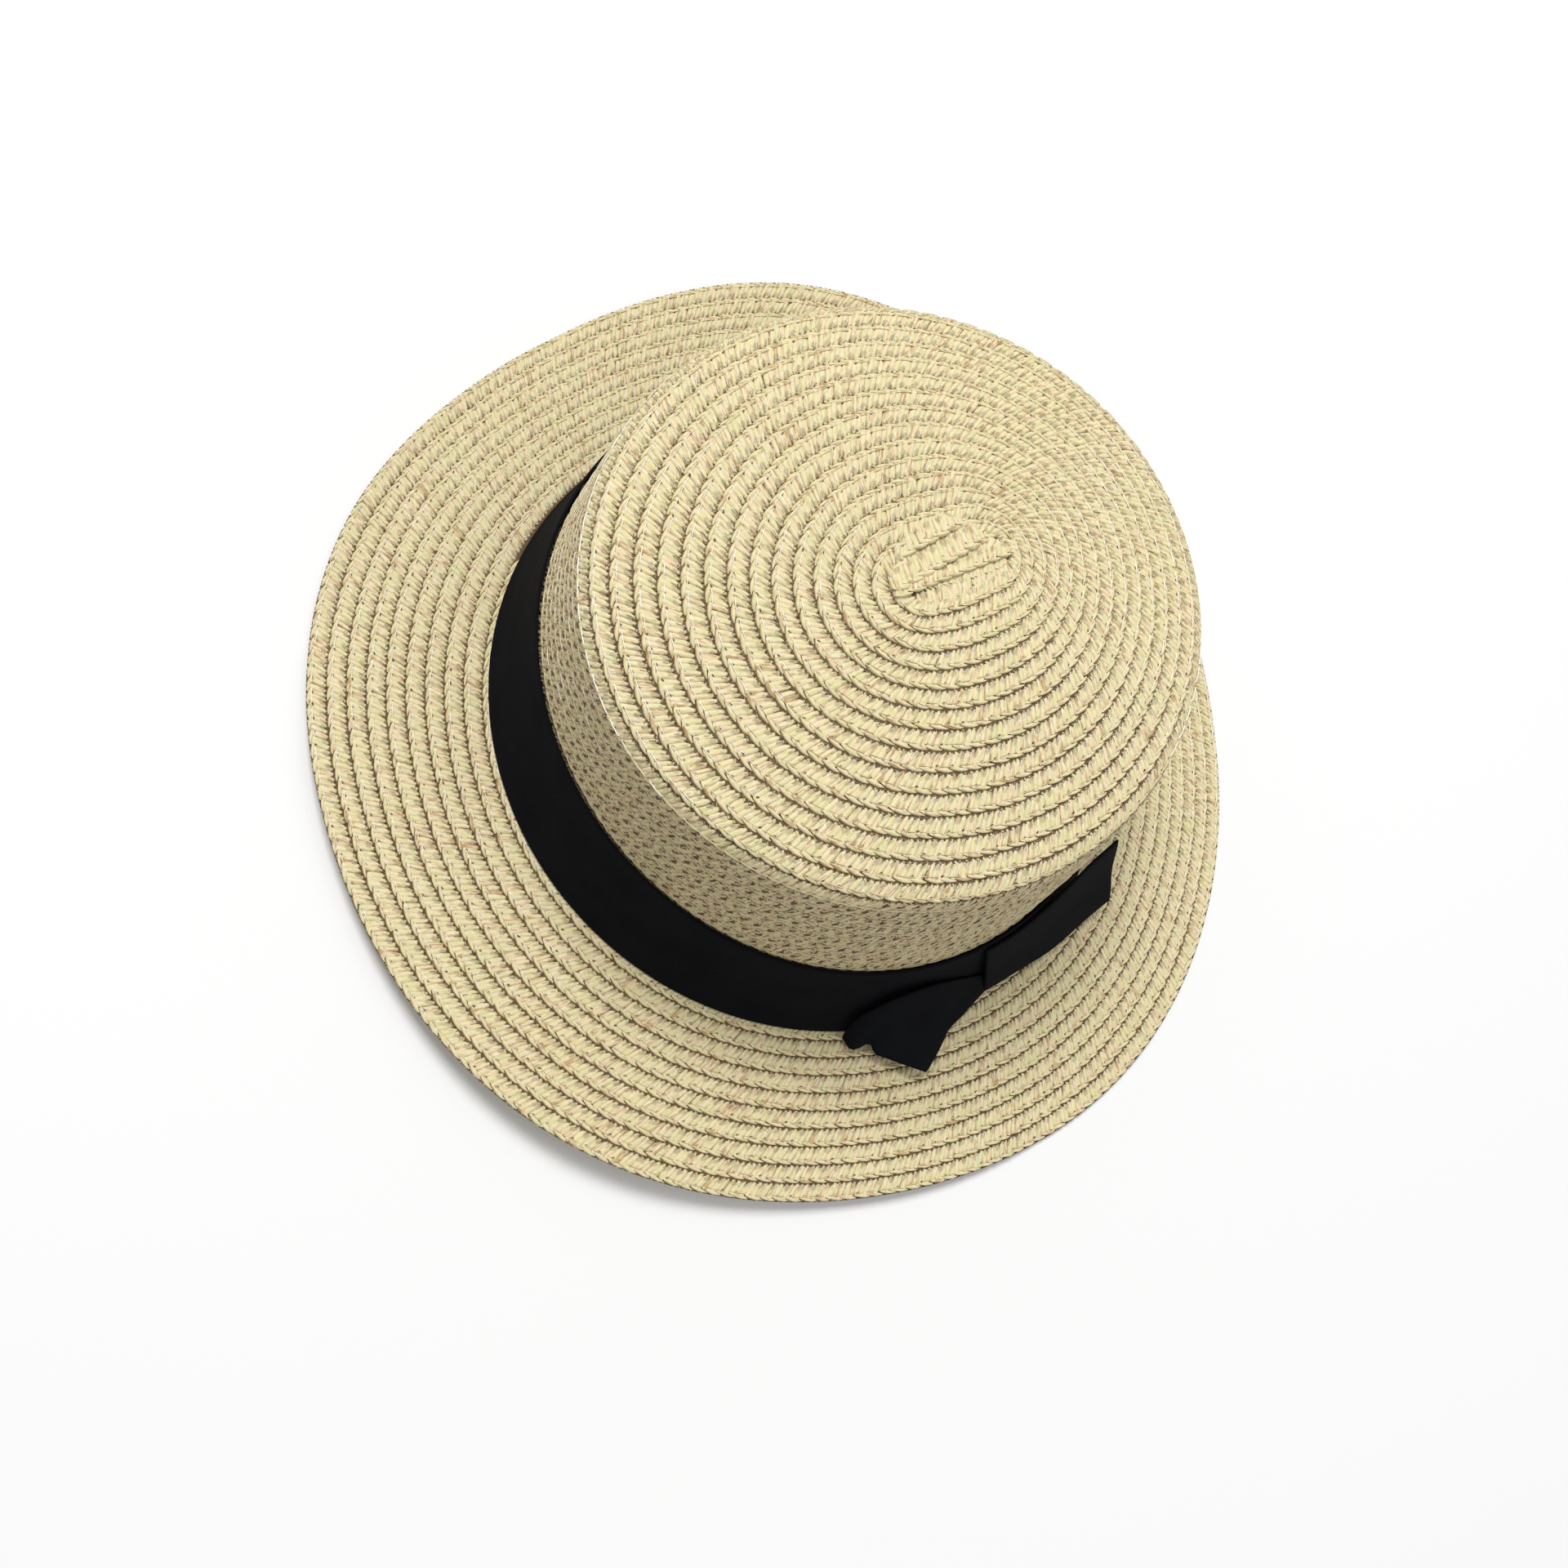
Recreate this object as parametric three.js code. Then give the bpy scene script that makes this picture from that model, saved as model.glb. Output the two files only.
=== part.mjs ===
// Straw hat with a round flat-topped crown, a short wavy brim and a ribbon band tied at the wearer's left.
// Millimetres, +Z up. The hat rests on the plane z = 0, the wearer's front is -Y and the left side is +X.
import * as THREE from 'three';
import { mergeVertices } from 'three/addons/utils/BufferGeometryUtils.js';

// Crown, measured on its outside
const CROWN_HALF_WIDTH = 94.4;
const CROWN_HALF_LENGTH = 93.8;
const WALL_HEIGHT = 68;
const SHOULDER_RADIUS = 6;
const TIP_RISE = 7;
const TIP_SLOPE_X = -0.04;
const TIP_SLOPE_Y = 0.02;

// Brim, from the crown's base to its oval rim
const BRIM_SIDE_WIDTH = 47;
const BRIM_FRONT_WIDTH = 50.4;
const BRIM_LIFT = 9;
const SEAT_HEIGHT = 8;
const BRIM_FALL_POWER = 1.5;

// Sheets, and the clearance between them
const STRAW_THICKNESS = 1.8;
const RIBBON_WIDTH = 28;
const RIBBON_THICKNESS = 1;
const GAP = 0.3;

// How finely the sheets are divided
const RING_SEGMENTS = 84;
const SHOULDER_STEPS = 4;
const TIP_STEPS = 5;
const TAIL_STEPS = 14;
const TAIL_STEPS_ACROSS = 5;
const SLOPE_STEP = 0.01;
const MERGE_DISTANCE = 1e-4;

// Wall of the crown: height as a share of WALL_HEIGHT, the rest as shares of the base's half sizes
const WALL_SECTIONS = [
  { height: 0.0, width: 1.0, length: 1.0, shiftX: 0.0, shiftY: 0.0 },
  { height: 0.12, width: 0.966, length: 0.958, shiftX: -0.012, shiftY: 0.0 },
  { height: 0.26, width: 0.937, length: 0.918, shiftX: -0.025, shiftY: 0.003 },
  { height: 0.42, width: 0.914, length: 0.893, shiftX: -0.035, shiftY: 0.008 },
  { height: 0.7, width: 0.884, length: 0.9, shiftX: -0.041, shiftY: 0.03 },
  { height: 1.0, width: 0.846, length: 0.912, shiftX: -0.047, shiftY: 0.051 },
];

// Crests and hollows of the rim: angle in degrees from the wearer's left towards the back, rise of the
// underside as a share of BRIM_LIFT, and swell past the oval rim as a share of the brim's width.
// Where the rise is below zero the brim is pressed flat on the floor.
const RIM_WAVES = [
  { angle: 20, rise: -0.2, swell: 0.045 },
  { angle: 64, rise: 0, swell: -0.02 },
  { angle: 110, rise: 0.7, swell: 0.03 },
  { angle: 150, rise: 1, swell: 0.065 },
  { angle: 200, rise: -0.1, swell: -0.03 },
  { angle: 226, rise: -0.2, swell: 0.012 },
  { angle: 266, rise: 0.42, swell: -0.043 },
  { angle: 305, rise: 0.95, swell: 0.006 },
  { angle: 340, rise: 0.34, swell: -0.026 },
];

// Rings of the brim, as shares of its width
const BRIM_RINGS = [0, 0.17, 0.34, 0.5, 0.65, 0.77, 0.86, 0.93, 1];

// Tails of the bow, from the seam to the cut end: angle in degrees round the crown, then height over the
// brim and stand-off from the band as shares of RIBBON_WIDTH, for the lower and the upper edge
const FRONT_TAIL = [
  { along: 0, lowAngle: 3.5, low: 0.1, lowOff: 0.05, highAngle: 0.6, high: 0.6, highOff: 0 },
  { along: 0.25, lowAngle: 0.5, low: 0.13, lowOff: 0.2, highAngle: -7, high: 0.72, highOff: 0.04 },
  { along: 0.55, lowAngle: -3.5, low: 0.15, lowOff: 0.34, highAngle: -15, high: 0.6, highOff: 0.1 },
  { along: 0.8, lowAngle: -7.5, low: 0.15, lowOff: 0.45, highAngle: -20, high: 0.42, highOff: 0.15 },
  { along: 1, lowAngle: -10.5, low: 0.15, lowOff: 0.54, highAngle: -22.5, high: 0.28, highOff: 0.22 },
];
const BACK_TAIL = [
  { along: 0, lowAngle: 4.5, low: 0.14, lowOff: 0.05, highAngle: 1, high: 1, highOff: 0 },
  { along: 0.25, lowAngle: 11, low: 0.1, lowOff: 0.09, highAngle: 9, high: 1, highOff: 0.04 },
  { along: 0.5, lowAngle: 19, low: 0.1, lowOff: 0.13, highAngle: 18, high: 1, highOff: 0.1 },
  { along: 0.8, lowAngle: 28.5, low: 0.12, lowOff: 0.2, highAngle: 29, high: 1.04, highOff: 0.18 },
  { along: 1, lowAngle: 34.5, low: 0.16, lowOff: 0.27, highAngle: 36.5, high: 1.08, highOff: 0.25 },
];

const { clamp, degToRad, radToDeg, euclideanModulo, lerp } = THREE.MathUtils;

// Reads a table as smooth curves over one of its columns
function smoothTable(rows, column) {
  const names = Object.keys(rows[0]).filter((name) => name !== column);
  const places = rows.map((row) => row[column]);
  const values = rows.flatMap((row) => names.map((name) => row[name]));
  const curve = new THREE.CubicInterpolant(places, values, names.length);
  return (place) => {
    const found = curve.evaluate(place);
    return Object.fromEntries(names.map((name, i) => [name, found[i]]));
  };
}

const wallAt = smoothTable(WALL_SECTIONS, 'height');
const wallTop = WALL_SECTIONS[WALL_SECTIONS.length - 1];

// One column of the rim's table at an angle, running as half a cosine from row to row
function wave(angle, column) {
  const first = RIM_WAVES[0].angle;
  const turn = first + euclideanModulo(radToDeg(angle) - first, 360);
  const rows = [...RIM_WAVES, { ...RIM_WAVES[0], angle: first + 360 }];
  const next = rows.findIndex((row, i) => i > 0 && turn <= row.angle);
  const [from, to] = [rows[next - 1], rows[next]];
  const share = (turn - from.angle) / (to.angle - from.angle);
  return lerp(from[column], to[column], (1 - Math.cos(Math.PI * share)) / 2);
}

// Moves a point of an upright crown to where the crown's lean and tilt bring it
function leanedPoint(x, y, height) {
  const share = clamp(height / WALL_HEIGHT, 0, 1);
  const { shiftX, shiftY } = wallAt(share);
  const tilt = share * (TIP_SLOPE_X * x + TIP_SLOPE_Y * y);
  const z = SEAT_HEIGHT + GAP + height + tilt;
  return new THREE.Vector3(x + CROWN_HALF_WIDTH * shiftX, y + CROWN_HALF_LENGTH * shiftY, z);
}

// Point of the crown's wall at a height over its base, moved outwards by `outwards`
function wallPoint(angle, height, outwards) {
  const { width, length } = wallAt(clamp(height / WALL_HEIGHT, 0, 1));
  const x = (CROWN_HALF_WIDTH * width + outwards) * Math.cos(angle);
  const y = (CROWN_HALF_LENGTH * length + outwards) * Math.sin(angle);
  return leanedPoint(x, y, height);
}

// Point of the rounded shoulder and domed tip: `turn` is the slope's angle from level, `share` runs from
// the tip's middle to its edge, and `inset` is the depth under the outer face
function tipPoint(angle, turn, share, inset) {
  const radius = SHOULDER_RADIUS - inset;
  const reach = radius * Math.sin(turn) - SHOULDER_RADIUS;
  const x = (CROWN_HALF_WIDTH * wallTop.width + reach) * share * Math.cos(angle);
  const y = (CROWN_HALF_LENGTH * wallTop.length + reach) * share * Math.sin(angle);
  const dome = TIP_RISE * (1 - share ** 2);
  return leanedPoint(x, y, WALL_HEIGHT + radius * Math.cos(turn) + dome);
}

// Top face of the brim at an angle and a share of its width
function brimPoint(angle, share) {
  const width = 1 + wave(angle, 'swell');
  const rimX = CROWN_HALF_WIDTH + BRIM_SIDE_WIDTH * width;
  const rimY = CROWN_HALF_LENGTH + BRIM_FRONT_WIDTH * width;
  const x = lerp(CROWN_HALF_WIDTH - STRAW_THICKNESS, rimX, share) * Math.cos(angle);
  const y = lerp(CROWN_HALF_LENGTH - STRAW_THICKNESS, rimY, share) * Math.sin(angle);
  const rise = BRIM_LIFT * wave(angle, 'rise');
  const underside = lerp(SEAT_HEIGHT - STRAW_THICKNESS, rise, share ** BRIM_FALL_POWER);
  return new THREE.Vector3(x, y, Math.max(underside, 0) + STRAW_THICKNESS);
}

// Middle of a bow tail's cloth at shares of its length and of its width
function tailPoint(tailAt, along, across) {
  const row = tailAt(along);
  const seat = GAP + RIBBON_THICKNESS + GAP + RIBBON_THICKNESS / 2;
  const edge = (angle, height, standOff) => (
    wallPoint(degToRad(angle), RIBBON_WIDTH * height, seat + RIBBON_WIDTH * standOff)
  );
  const low = edge(row.lowAngle, row.low, row.lowOff);
  const high = edge(row.highAngle, row.high, row.highOff);
  return low.lerp(high, across);
}

// Leaves only positions, merges shared points and drops the triangles that this closes up
function closedSurface(geometry) {
  geometry.deleteAttribute('normal');
  geometry.deleteAttribute('uv');
  const merged = mergeVertices(geometry, MERGE_DISTANCE);
  const corners = Array.from(merged.index.array);
  const kept = [];
  for (let i = 0; i < corners.length; i += 3) {
    const triangle = corners.slice(i, i + 3);
    if (new Set(triangle).size === 3) {
      kept.push(...triangle);
    }
  }
  merged.setIndex(kept);
  merged.computeVertexNormals();
  return merged;
}

// A sheet turned round the hat's axis. Its profile runs out along side 0 and back along side 1, and
// `place(angle, ring, side)` gives the spot of every point.
function turnedSheet(rings, place) {
  const profile = [];
  for (let ring = 1; ring <= rings; ring += 1) {
    profile.push(new THREE.Vector2(ring, 0));
  }
  for (let ring = rings; ring >= 1; ring -= 1) {
    profile.push(new THREE.Vector2(ring, 1));
  }
  profile.push(profile[0].clone());
  const geometry = new THREE.LatheGeometry(profile, RING_SEGMENTS);
  const points = geometry.getAttribute('position');
  for (let i = 0; i < points.count; i += 1) {
    const angle = Math.atan2(points.getX(i), points.getZ(i));
    const ring = Math.round(Math.hypot(points.getX(i), points.getZ(i))) - 1;
    const spot = place(angle, ring, Math.round(points.getY(i)));
    points.setXYZ(i, spot.x, spot.y, spot.z);
  }
  return closedSurface(geometry);
}

// Crown: wall, rounded shoulder and tip in one sheet that is open below
function crownGeometry() {
  const edgeTurn = Math.atan(2 * TIP_RISE / (CROWN_HALF_WIDTH * wallTop.width - SHOULDER_RADIUS));
  const rings = [];
  for (let step = 0; step <= TIP_STEPS; step += 1) {
    rings.push((angle, inset) => tipPoint(angle, edgeTurn, step / TIP_STEPS, inset));
  }
  for (let step = 1; step < SHOULDER_STEPS; step += 1) {
    const turn = lerp(edgeTurn, Math.PI / 2, step / SHOULDER_STEPS);
    rings.push((angle, inset) => tipPoint(angle, turn, 1, inset));
  }
  for (const section of [...WALL_SECTIONS].reverse()) {
    rings.push((angle, inset) => wallPoint(angle, WALL_HEIGHT * section.height, -inset));
  }
  return turnedSheet(rings.length, (angle, ring, side) => (
    rings[ring](angle, side === 1 ? 0 : STRAW_THICKNESS)
  ));
}

function brimGeometry() {
  return turnedSheet(BRIM_RINGS.length, (angle, ring, side) => {
    const point = brimPoint(angle, BRIM_RINGS[ring]);
    point.z -= side === 1 ? 0 : STRAW_THICKNESS;
    return point;
  });
}

// Ribbon band round the foot of the wall, bent where the wall is
function bandGeometry() {
  const bends = WALL_SECTIONS.map((section) => WALL_HEIGHT * section.height);
  const heights = [...bends.filter((height) => height < RIBBON_WIDTH), RIBBON_WIDTH].reverse();
  return turnedSheet(heights.length, (angle, ring, side) => (
    wallPoint(angle, heights[ring], GAP + side * RIBBON_THICKNESS)
  ));
}

// Tail of the bow: a slab of unit size that is bent to the tail's table
function tailGeometry(rows, facing) {
  const tailAt = smoothTable(rows, 'along');
  const geometry = new THREE.BoxGeometry(1, 1, 1, TAIL_STEPS, TAIL_STEPS_ACROSS, 1);
  const points = geometry.getAttribute('position');
  for (let i = 0; i < points.count; i += 1) {
    const along = facing * points.getX(i) + 0.5;
    const across = points.getY(i) + 0.5;
    const spot = tailPoint(tailAt, along, across);
    const start = Math.min(along, 1 - SLOPE_STEP);
    const end = start + SLOPE_STEP;
    const lengthwise = tailPoint(tailAt, end, across).sub(tailPoint(tailAt, start, across));
    const crosswise = tailPoint(tailAt, along, 1).sub(tailPoint(tailAt, along, 0));
    const normal = lengthwise.cross(crosswise).normalize();
    spot.addScaledVector(normal, facing * points.getZ(i) * RIBBON_THICKNESS);
    points.setXYZ(i, spot.x, spot.y, spot.z);
  }
  return closedSurface(geometry);
}

const straw = new THREE.MeshStandardMaterial({ color: 0xd8c9a0, roughness: 0.85, metalness: 0 });
const ribbon = new THREE.MeshStandardMaterial({ color: 0x15161a, roughness: 0.8, metalness: 0 });

const hat = new THREE.Group();

function addPiece(name, geometry, material) {
  const piece = new THREE.Mesh(geometry, material);
  piece.name = name;
  hat.add(piece);
}

addPiece('crown', crownGeometry(), straw);
addPiece('brim', brimGeometry(), straw);
addPiece('hat_band', bandGeometry(), ribbon);
addPiece('bow_front_tail', tailGeometry(FRONT_TAIL, -1), ribbon);
addPiece('bow_back_tail', tailGeometry(BACK_TAIL, 1), ribbon);

// The middle of the footprint stands over the origin
const middle = new THREE.Box3().setFromObject(hat).getCenter(new THREE.Vector3());
hat.position.set(-middle.x, -middle.y, 0);

export default hat;
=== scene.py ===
"""Straw hat with a ribbon band and a flat bow, dressed for a studio picture.

Shapes are worked out in millimetres in the crown's own frame, whose middle is that of the crown's foot,
and every mesh is in metres in the row frame.
"""

import logging
import math
from dataclasses import dataclass
from enum import Enum
from typing import Any, Callable, Dict, List, Optional, Sequence, Tuple

import bmesh
import bpy
import numpy as np
from mathutils import Matrix, Vector


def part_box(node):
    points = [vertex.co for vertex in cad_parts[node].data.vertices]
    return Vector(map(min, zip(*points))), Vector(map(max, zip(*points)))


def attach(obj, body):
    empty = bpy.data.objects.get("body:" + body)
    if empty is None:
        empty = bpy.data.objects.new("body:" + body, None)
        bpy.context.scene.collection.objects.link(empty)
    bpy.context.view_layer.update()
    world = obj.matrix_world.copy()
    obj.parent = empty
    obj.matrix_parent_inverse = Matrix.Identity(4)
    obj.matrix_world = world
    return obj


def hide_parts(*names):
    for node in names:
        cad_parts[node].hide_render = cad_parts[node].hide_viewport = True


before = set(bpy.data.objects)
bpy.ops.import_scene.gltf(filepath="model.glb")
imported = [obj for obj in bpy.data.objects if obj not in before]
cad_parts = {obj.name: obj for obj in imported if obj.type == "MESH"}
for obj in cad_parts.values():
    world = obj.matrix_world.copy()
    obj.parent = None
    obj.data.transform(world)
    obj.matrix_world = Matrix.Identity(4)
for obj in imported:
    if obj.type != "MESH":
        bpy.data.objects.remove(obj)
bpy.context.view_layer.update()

LOG = logging.getLogger("straw_hat")
MM = 0.001
TAU = 2 * math.pi
ROW_PITCH = 5.05
STRAW = 1.8


class Slot(Enum):
    """Material slots of the record, passed with each piece but not read."""

    STRAW = "straw_braid"
    RIBBON = "ribbon"


class Face(Enum):
    """Side of the straw that a braid is seen from."""

    OUTSIDE = 0
    INSIDE = 1


# Shader helpers and finishes


class Num:
    """A number socket whose arithmetic adds Math nodes."""

    def __init__(self, paint: "Paint", socket: Any) -> None:
        """Wrap a socket of a paint's node tree."""
        self.paint = paint
        self.socket = socket

    def _math(self, operation: str, first: Any, second: Any) -> "Num":
        """Add one Math node.

        Args:
            operation: The Math node's operation.
            first: A number or a Num.
            second: A number or a Num.

        Returns:
            The node's output.
        """
        node = self.paint.node("ShaderNodeMath", {"operation": operation}, {0: first, 1: second})
        return Num(self.paint, node.outputs[0])

    def __add__(self, other: Any) -> "Num":
        """Sum."""
        return self._math("ADD", self, other)

    __radd__ = __add__

    def __sub__(self, other: Any) -> "Num":
        """Difference."""
        return self._math("SUBTRACT", self, other)

    def __rsub__(self, other: Any) -> "Num":
        """Difference from a number."""
        return self._math("SUBTRACT", other, self)

    def __mul__(self, other: Any) -> "Num":
        """Product."""
        return self._math("MULTIPLY", self, other)

    __rmul__ = __mul__

    def size(self) -> "Num":
        """Distance from zero."""
        return self._math("ABSOLUTE", self, 0.0)

    def fraction(self) -> "Num":
        """Part after the whole number."""
        return self._math("FRACT", self, 0.0)

    def sine(self) -> "Num":
        """Sine of an angle in radians."""
        return self._math("SINE", self, 0.0)

    def line(self, slope: float, start: float) -> "Num":
        """The number times a slope, from a start."""
        return self * slope + start

    def most(self, other: Any) -> "Num":
        """The larger of two numbers."""
        return self._math("MAXIMUM", self, other)

    def ramp(self, low: float, high: float) -> "Num":
        """Smooth step from 0 at `low` to 1 at `high`."""
        settings = {"interpolation_type": "SMOOTHSTEP"}
        node = self.paint.node("ShaderNodeMapRange", settings, {0: self, 1: low, 2: high})
        return Num(self.paint, node.outputs[0])


class Paint:
    """A material's node tree and the nodes that are added to it."""

    def __init__(self, name: str) -> None:
        """Make a material that holds one Principled BSDF."""
        self.material = bpy.data.materials.new(name)
        self.material.use_nodes = True
        self.tree = self.material.node_tree
        self.shader = self.tree.nodes["Principled BSDF"]

    def node(self, kind: str, settings: Dict[str, Any], sockets: Dict[Any, Any]) -> Any:
        """Add a node.

        Args:
            kind: The node's type.
            settings: Properties, set before the sockets. `stops` holds a ramp's places and colours.
            sockets: Values, sockets or Nums for the node's inputs, by name or place.

        Returns:
            The new node.
        """
        made = self.tree.nodes.new(kind)
        for name, value in settings.items():
            if name == "stops":
                self._stops(made.color_ramp, value)
            else:
                setattr(made, name, value)
        for name, value in sockets.items():
            self.feed(made.inputs[name], value)
        return made

    @staticmethod
    def _stops(ramp: Any, stops: Sequence[Tuple[float, Sequence[float]]]) -> None:
        """Give a colour ramp its stops.

        Args:
            ramp: The node's colour ramp.
            stops: Places and colours.
        """
        while len(ramp.elements) < len(stops):
            ramp.elements.new(0.5)
        for element, (place, colour) in zip(ramp.elements, stops):
            element.position = place
            element.color = (*colour, 1.0)

    def feed(self, target: Any, value: Any) -> None:
        """Link a socket or a Num to an input, or set the input's value.

        Args:
            target: The input.
            value: A number, a vector, a colour, a socket or a Num.
        """
        if isinstance(value, Num):
            value = value.socket
        if isinstance(value, bpy.types.NodeSocket):
            self.tree.links.new(value, target)
        else:
            target.default_value = value

    def attribute(self, name: str) -> Any:
        """Attribute node that reads one of a mesh's attributes."""
        return self.node("ShaderNodeAttribute", {"attribute_name": name}, {})

    def parts(self, vector: Any) -> List[Num]:
        """Three numbers of a vector."""
        node = self.node("ShaderNodeSeparateXYZ", {}, {0: vector})
        return [Num(self, part) for part in node.outputs]

    def noise(self, vector: Any, scale: float, detail: float = 2.0) -> Num:
        """Noise texture over a vector."""
        node = self.node("ShaderNodeTexNoise", {}, {"Vector": vector, "Scale": scale, "Detail": detail})
        return Num(self, node.outputs[0])

    def vector(self, operation: str, first: Any, second: Any = (0.0, 0.0, 0.0)) -> Any:
        """Vector Math node of two vectors."""
        return self.node("ShaderNodeVectorMath", {"operation": operation}, {0: first, 1: second})

    def stretched(self, vector: Any, scale: Sequence[float]) -> Any:
        """Vector with each of its axes scaled."""
        return self.vector("MULTIPLY", vector, scale).outputs[0]

    def mixed(self, blend: str, factor: Any, first: Any, second: Any) -> Any:
        """Mix of two colours, which are sockets or RGBA values.

        Args:
            blend: The Mix node's way of blending.
            factor: Share of the second colour.
            first: First colour.
            second: Second colour.

        Returns:
            The node's colour socket.
        """
        node = self.node(
            "ShaderNodeMix",
            {"data_type": "RGBA", "blend_type": blend},
            {0: factor, 6: first, 7: second},
        )
        return node.outputs[2]

    def polish(self, roughness: float, specular: float) -> None:
        """Set how dull and how glossy the whole surface is."""
        self.shader.inputs["Roughness"].default_value = roughness
        self.shader.inputs["Specular IOR Level"].default_value = specular

    def bumped(self, height: Num, distance: float, strength: float) -> None:
        """Feed a height through a Bump node to the shader's normal.

        Args:
            height: Height of the relief, from 0 to 1.
            distance: Metres for a height of 1.
            strength: Strength of the effect.
        """
        sockets = {"Height": height, "Distance": distance, "Strength": strength}
        node = self.node("ShaderNodeBump", {}, sockets)
        self.feed(self.shader.inputs["Normal"], node.outputs[0])


def linear(red: int, green: int, blue: int) -> Tuple[float, float, float]:
    """Linear colour of 8-bit display values."""
    return tuple(((value / 255 + 0.055) / 1.055) ** 2.4 for value in (red, green, blue))


def rgba(colour: Sequence[float]) -> Tuple[float, float, float, float]:
    """Colour with full alpha."""
    return (*colour, 1.0)


@dataclass(frozen=True)
class StrawFinish:
    """Matt paper straw in mixed strands of pale yellow, green and pink, with shade painted into its slits,
    grooves and gaps and beside its cords.
    """

    name: str = "paper_straw"
    palette: Tuple[Tuple[float, Tuple[int, int, int]], ...] = (
        (0.0, (184, 156, 112)),
        (0.12, (214, 192, 152)),
        (0.25, (228, 210, 180)),
        (0.38, (230, 217, 178)),
        (0.52, (222, 212, 160)),
        (0.64, (206, 206, 158)),
        (0.76, (232, 222, 192)),
        (0.88, (222, 199, 164)),
        (1.0, (200, 170, 128)),
    )
    # dark brown painted shade in the slits between ribs, at the foot of each row under the cord before it,
    # and in the grooves
    slit_shade: Tuple[int, int, int] = (72, 48, 28)
    # painted shade in the braid's gaps, and the colour of the dark pin holes of the stitching
    gap_shade_and_needle_holes: Tuple[int, int, int] = (88, 64, 42)
    # shares of the strand's own tint and of its fibres' noise in the place on the palette
    tint_weight: float = 0.6
    yarn_weight: float = 1.5
    tint_start: float = 0.2
    # noise cells per millimetre along and across a strand
    streak_grain: Tuple[float, float, float] = (0.5, 3.2, 1.0)
    yarn_grain: Tuple[float, float, float] = (0.3, 1.7, 1.0)
    patch_grain: Tuple[float, float, float] = (0.45, 0.2, 1.0)
    row_grain: Tuple[float, float, float] = (0.5, 0.7, 0.0)
    streak_shade: Tuple[float, float, float] = (0.9, 0.87, 0.8)
    # painted shade over the more open braid of the wall
    open_wall_painted_shade: Tuple[float, float, float] = (0.84, 0.81, 0.8)
    # millimetres along a rib from its inner end where the painted shade in its slits and at its foot fades
    # out
    slit_fade: Tuple[float, float] = (1.3, 2.15)
    foot_fade: Tuple[float, float] = (0.2, 0.75)
    # millimetres from a strand's middle where the painted shade of its slits and of its grooves sets in
    slit_edge: Tuple[float, float] = (0.28, 0.56)
    groove_edge: Tuple[float, float] = (0.5, 0.8)
    groove_share: float = 0.26
    # slope and start of how dark the painted shade in the slits is, by luck and by how far a place lies
    # towards the side away from the light, and of the painted shade at the foot
    slit_luck: Tuple[float, float] = (0.85, 0.2)
    slit_shade_by_side: Tuple[float, float] = (0.7, 0.38)
    foot_shade_by_side: Tuple[float, float] = (0.4, 0.5)
    # millimetres that luck moves the slits' sides and their ends, and that the side away from the light
    # adds to the foot's painted shade
    luck_aside: float = 0.2
    luck_along: float = 0.5
    foot_shade_reach_by_side: float = 0.4
    # values between which the noises set in
    luck_edge: Tuple[float, float] = (0.1, 0.9)
    streak_edge: Tuple[float, float] = (0.3, 0.75)
    patch_edge: Tuple[float, float] = (0.4, 0.62)
    open_edge: Tuple[float, float] = (0.3, 1.0)
    pin_chance: Tuple[float, float] = (-0.12, 0.06)
    # painted shade in the gaps of the braid: cell's length, slant, place across the row, and how they
    # narrow
    cell: float = 3.86
    gap_slant: float = 0.6
    gap_place: float = 1.9
    gap_open_shift: float = 1.3
    gap_squeeze: Tuple[float, float] = (0.8, 0.85)
    gap_edge: Tuple[float, float] = (0.6, 1.1)
    gap_wander: Tuple[float, float] = (0.3, 0.9)
    # pin holes of the stitching: shift along the row in cells, place across it, and how they narrow
    pin_shift: float = 0.37
    pin_place: float = 0.85
    pin_squeeze: Tuple[float, float] = (1.4, 1.9)
    pin_edge: Tuple[float, float] = (0.4, 1.0)
    # direction towards the side away from the light, where painted shade is stronger, and the range over
    # which that sets in
    shade_side_direction: Tuple[float, float, float] = (0.81, -0.58, 0.0)
    shade_side_range: Tuple[float, float] = (-0.55, 0.45)
    roughness: float = 0.62
    specular: float = 0.35
    bump_height: float = 0.0002
    bump: float = 0.5

    def material(self) -> bpy.types.Material:
        """Build the material.

        Returns:
            The material, which reads the attributes `strand`, `fibre` and `row`.
        """
        paint = Paint(self.name)
        strand = paint.attribute("strand").outputs["Fac"]
        fibre = paint.attribute("fibre").outputs["Vector"]
        row = paint.attribute("row").outputs["Vector"]
        streak = paint.noise(paint.stretched(fibre, self.streak_grain), 1.0, 3.0)
        yarns = paint.noise(paint.stretched(fibre, self.yarn_grain), 1.0, 1.0)
        pick = Num(paint, strand) * self.tint_weight + (yarns - 0.5) * self.yarn_weight + self.tint_start
        stops = [(place, linear(*colour)) for place, colour in self.palette]
        ramp = paint.node("ShaderNodeValToRGB", {"stops": stops}, {0: pick})
        shade = streak.ramp(*self.streak_edge)
        tone = paint.mixed("MULTIPLY", 1 - shade, ramp.outputs[0], rgba(self.streak_shade))
        # painted shade: the more open braid of the wall is darkened all over
        open_wall_shade_share = paint.parts(row)[2].ramp(*self.open_edge)
        tone = paint.mixed("MULTIPLY", open_wall_shade_share, tone, rgba(self.open_wall_painted_shade))
        # painted shade in the braid's gaps, mixed with the dark pin holes
        tone = paint.mixed("MIX", self.gaps_shade_and_pin_holes(paint, row), tone, rgba(linear(*self.gap_shade_and_needle_holes)))
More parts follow.
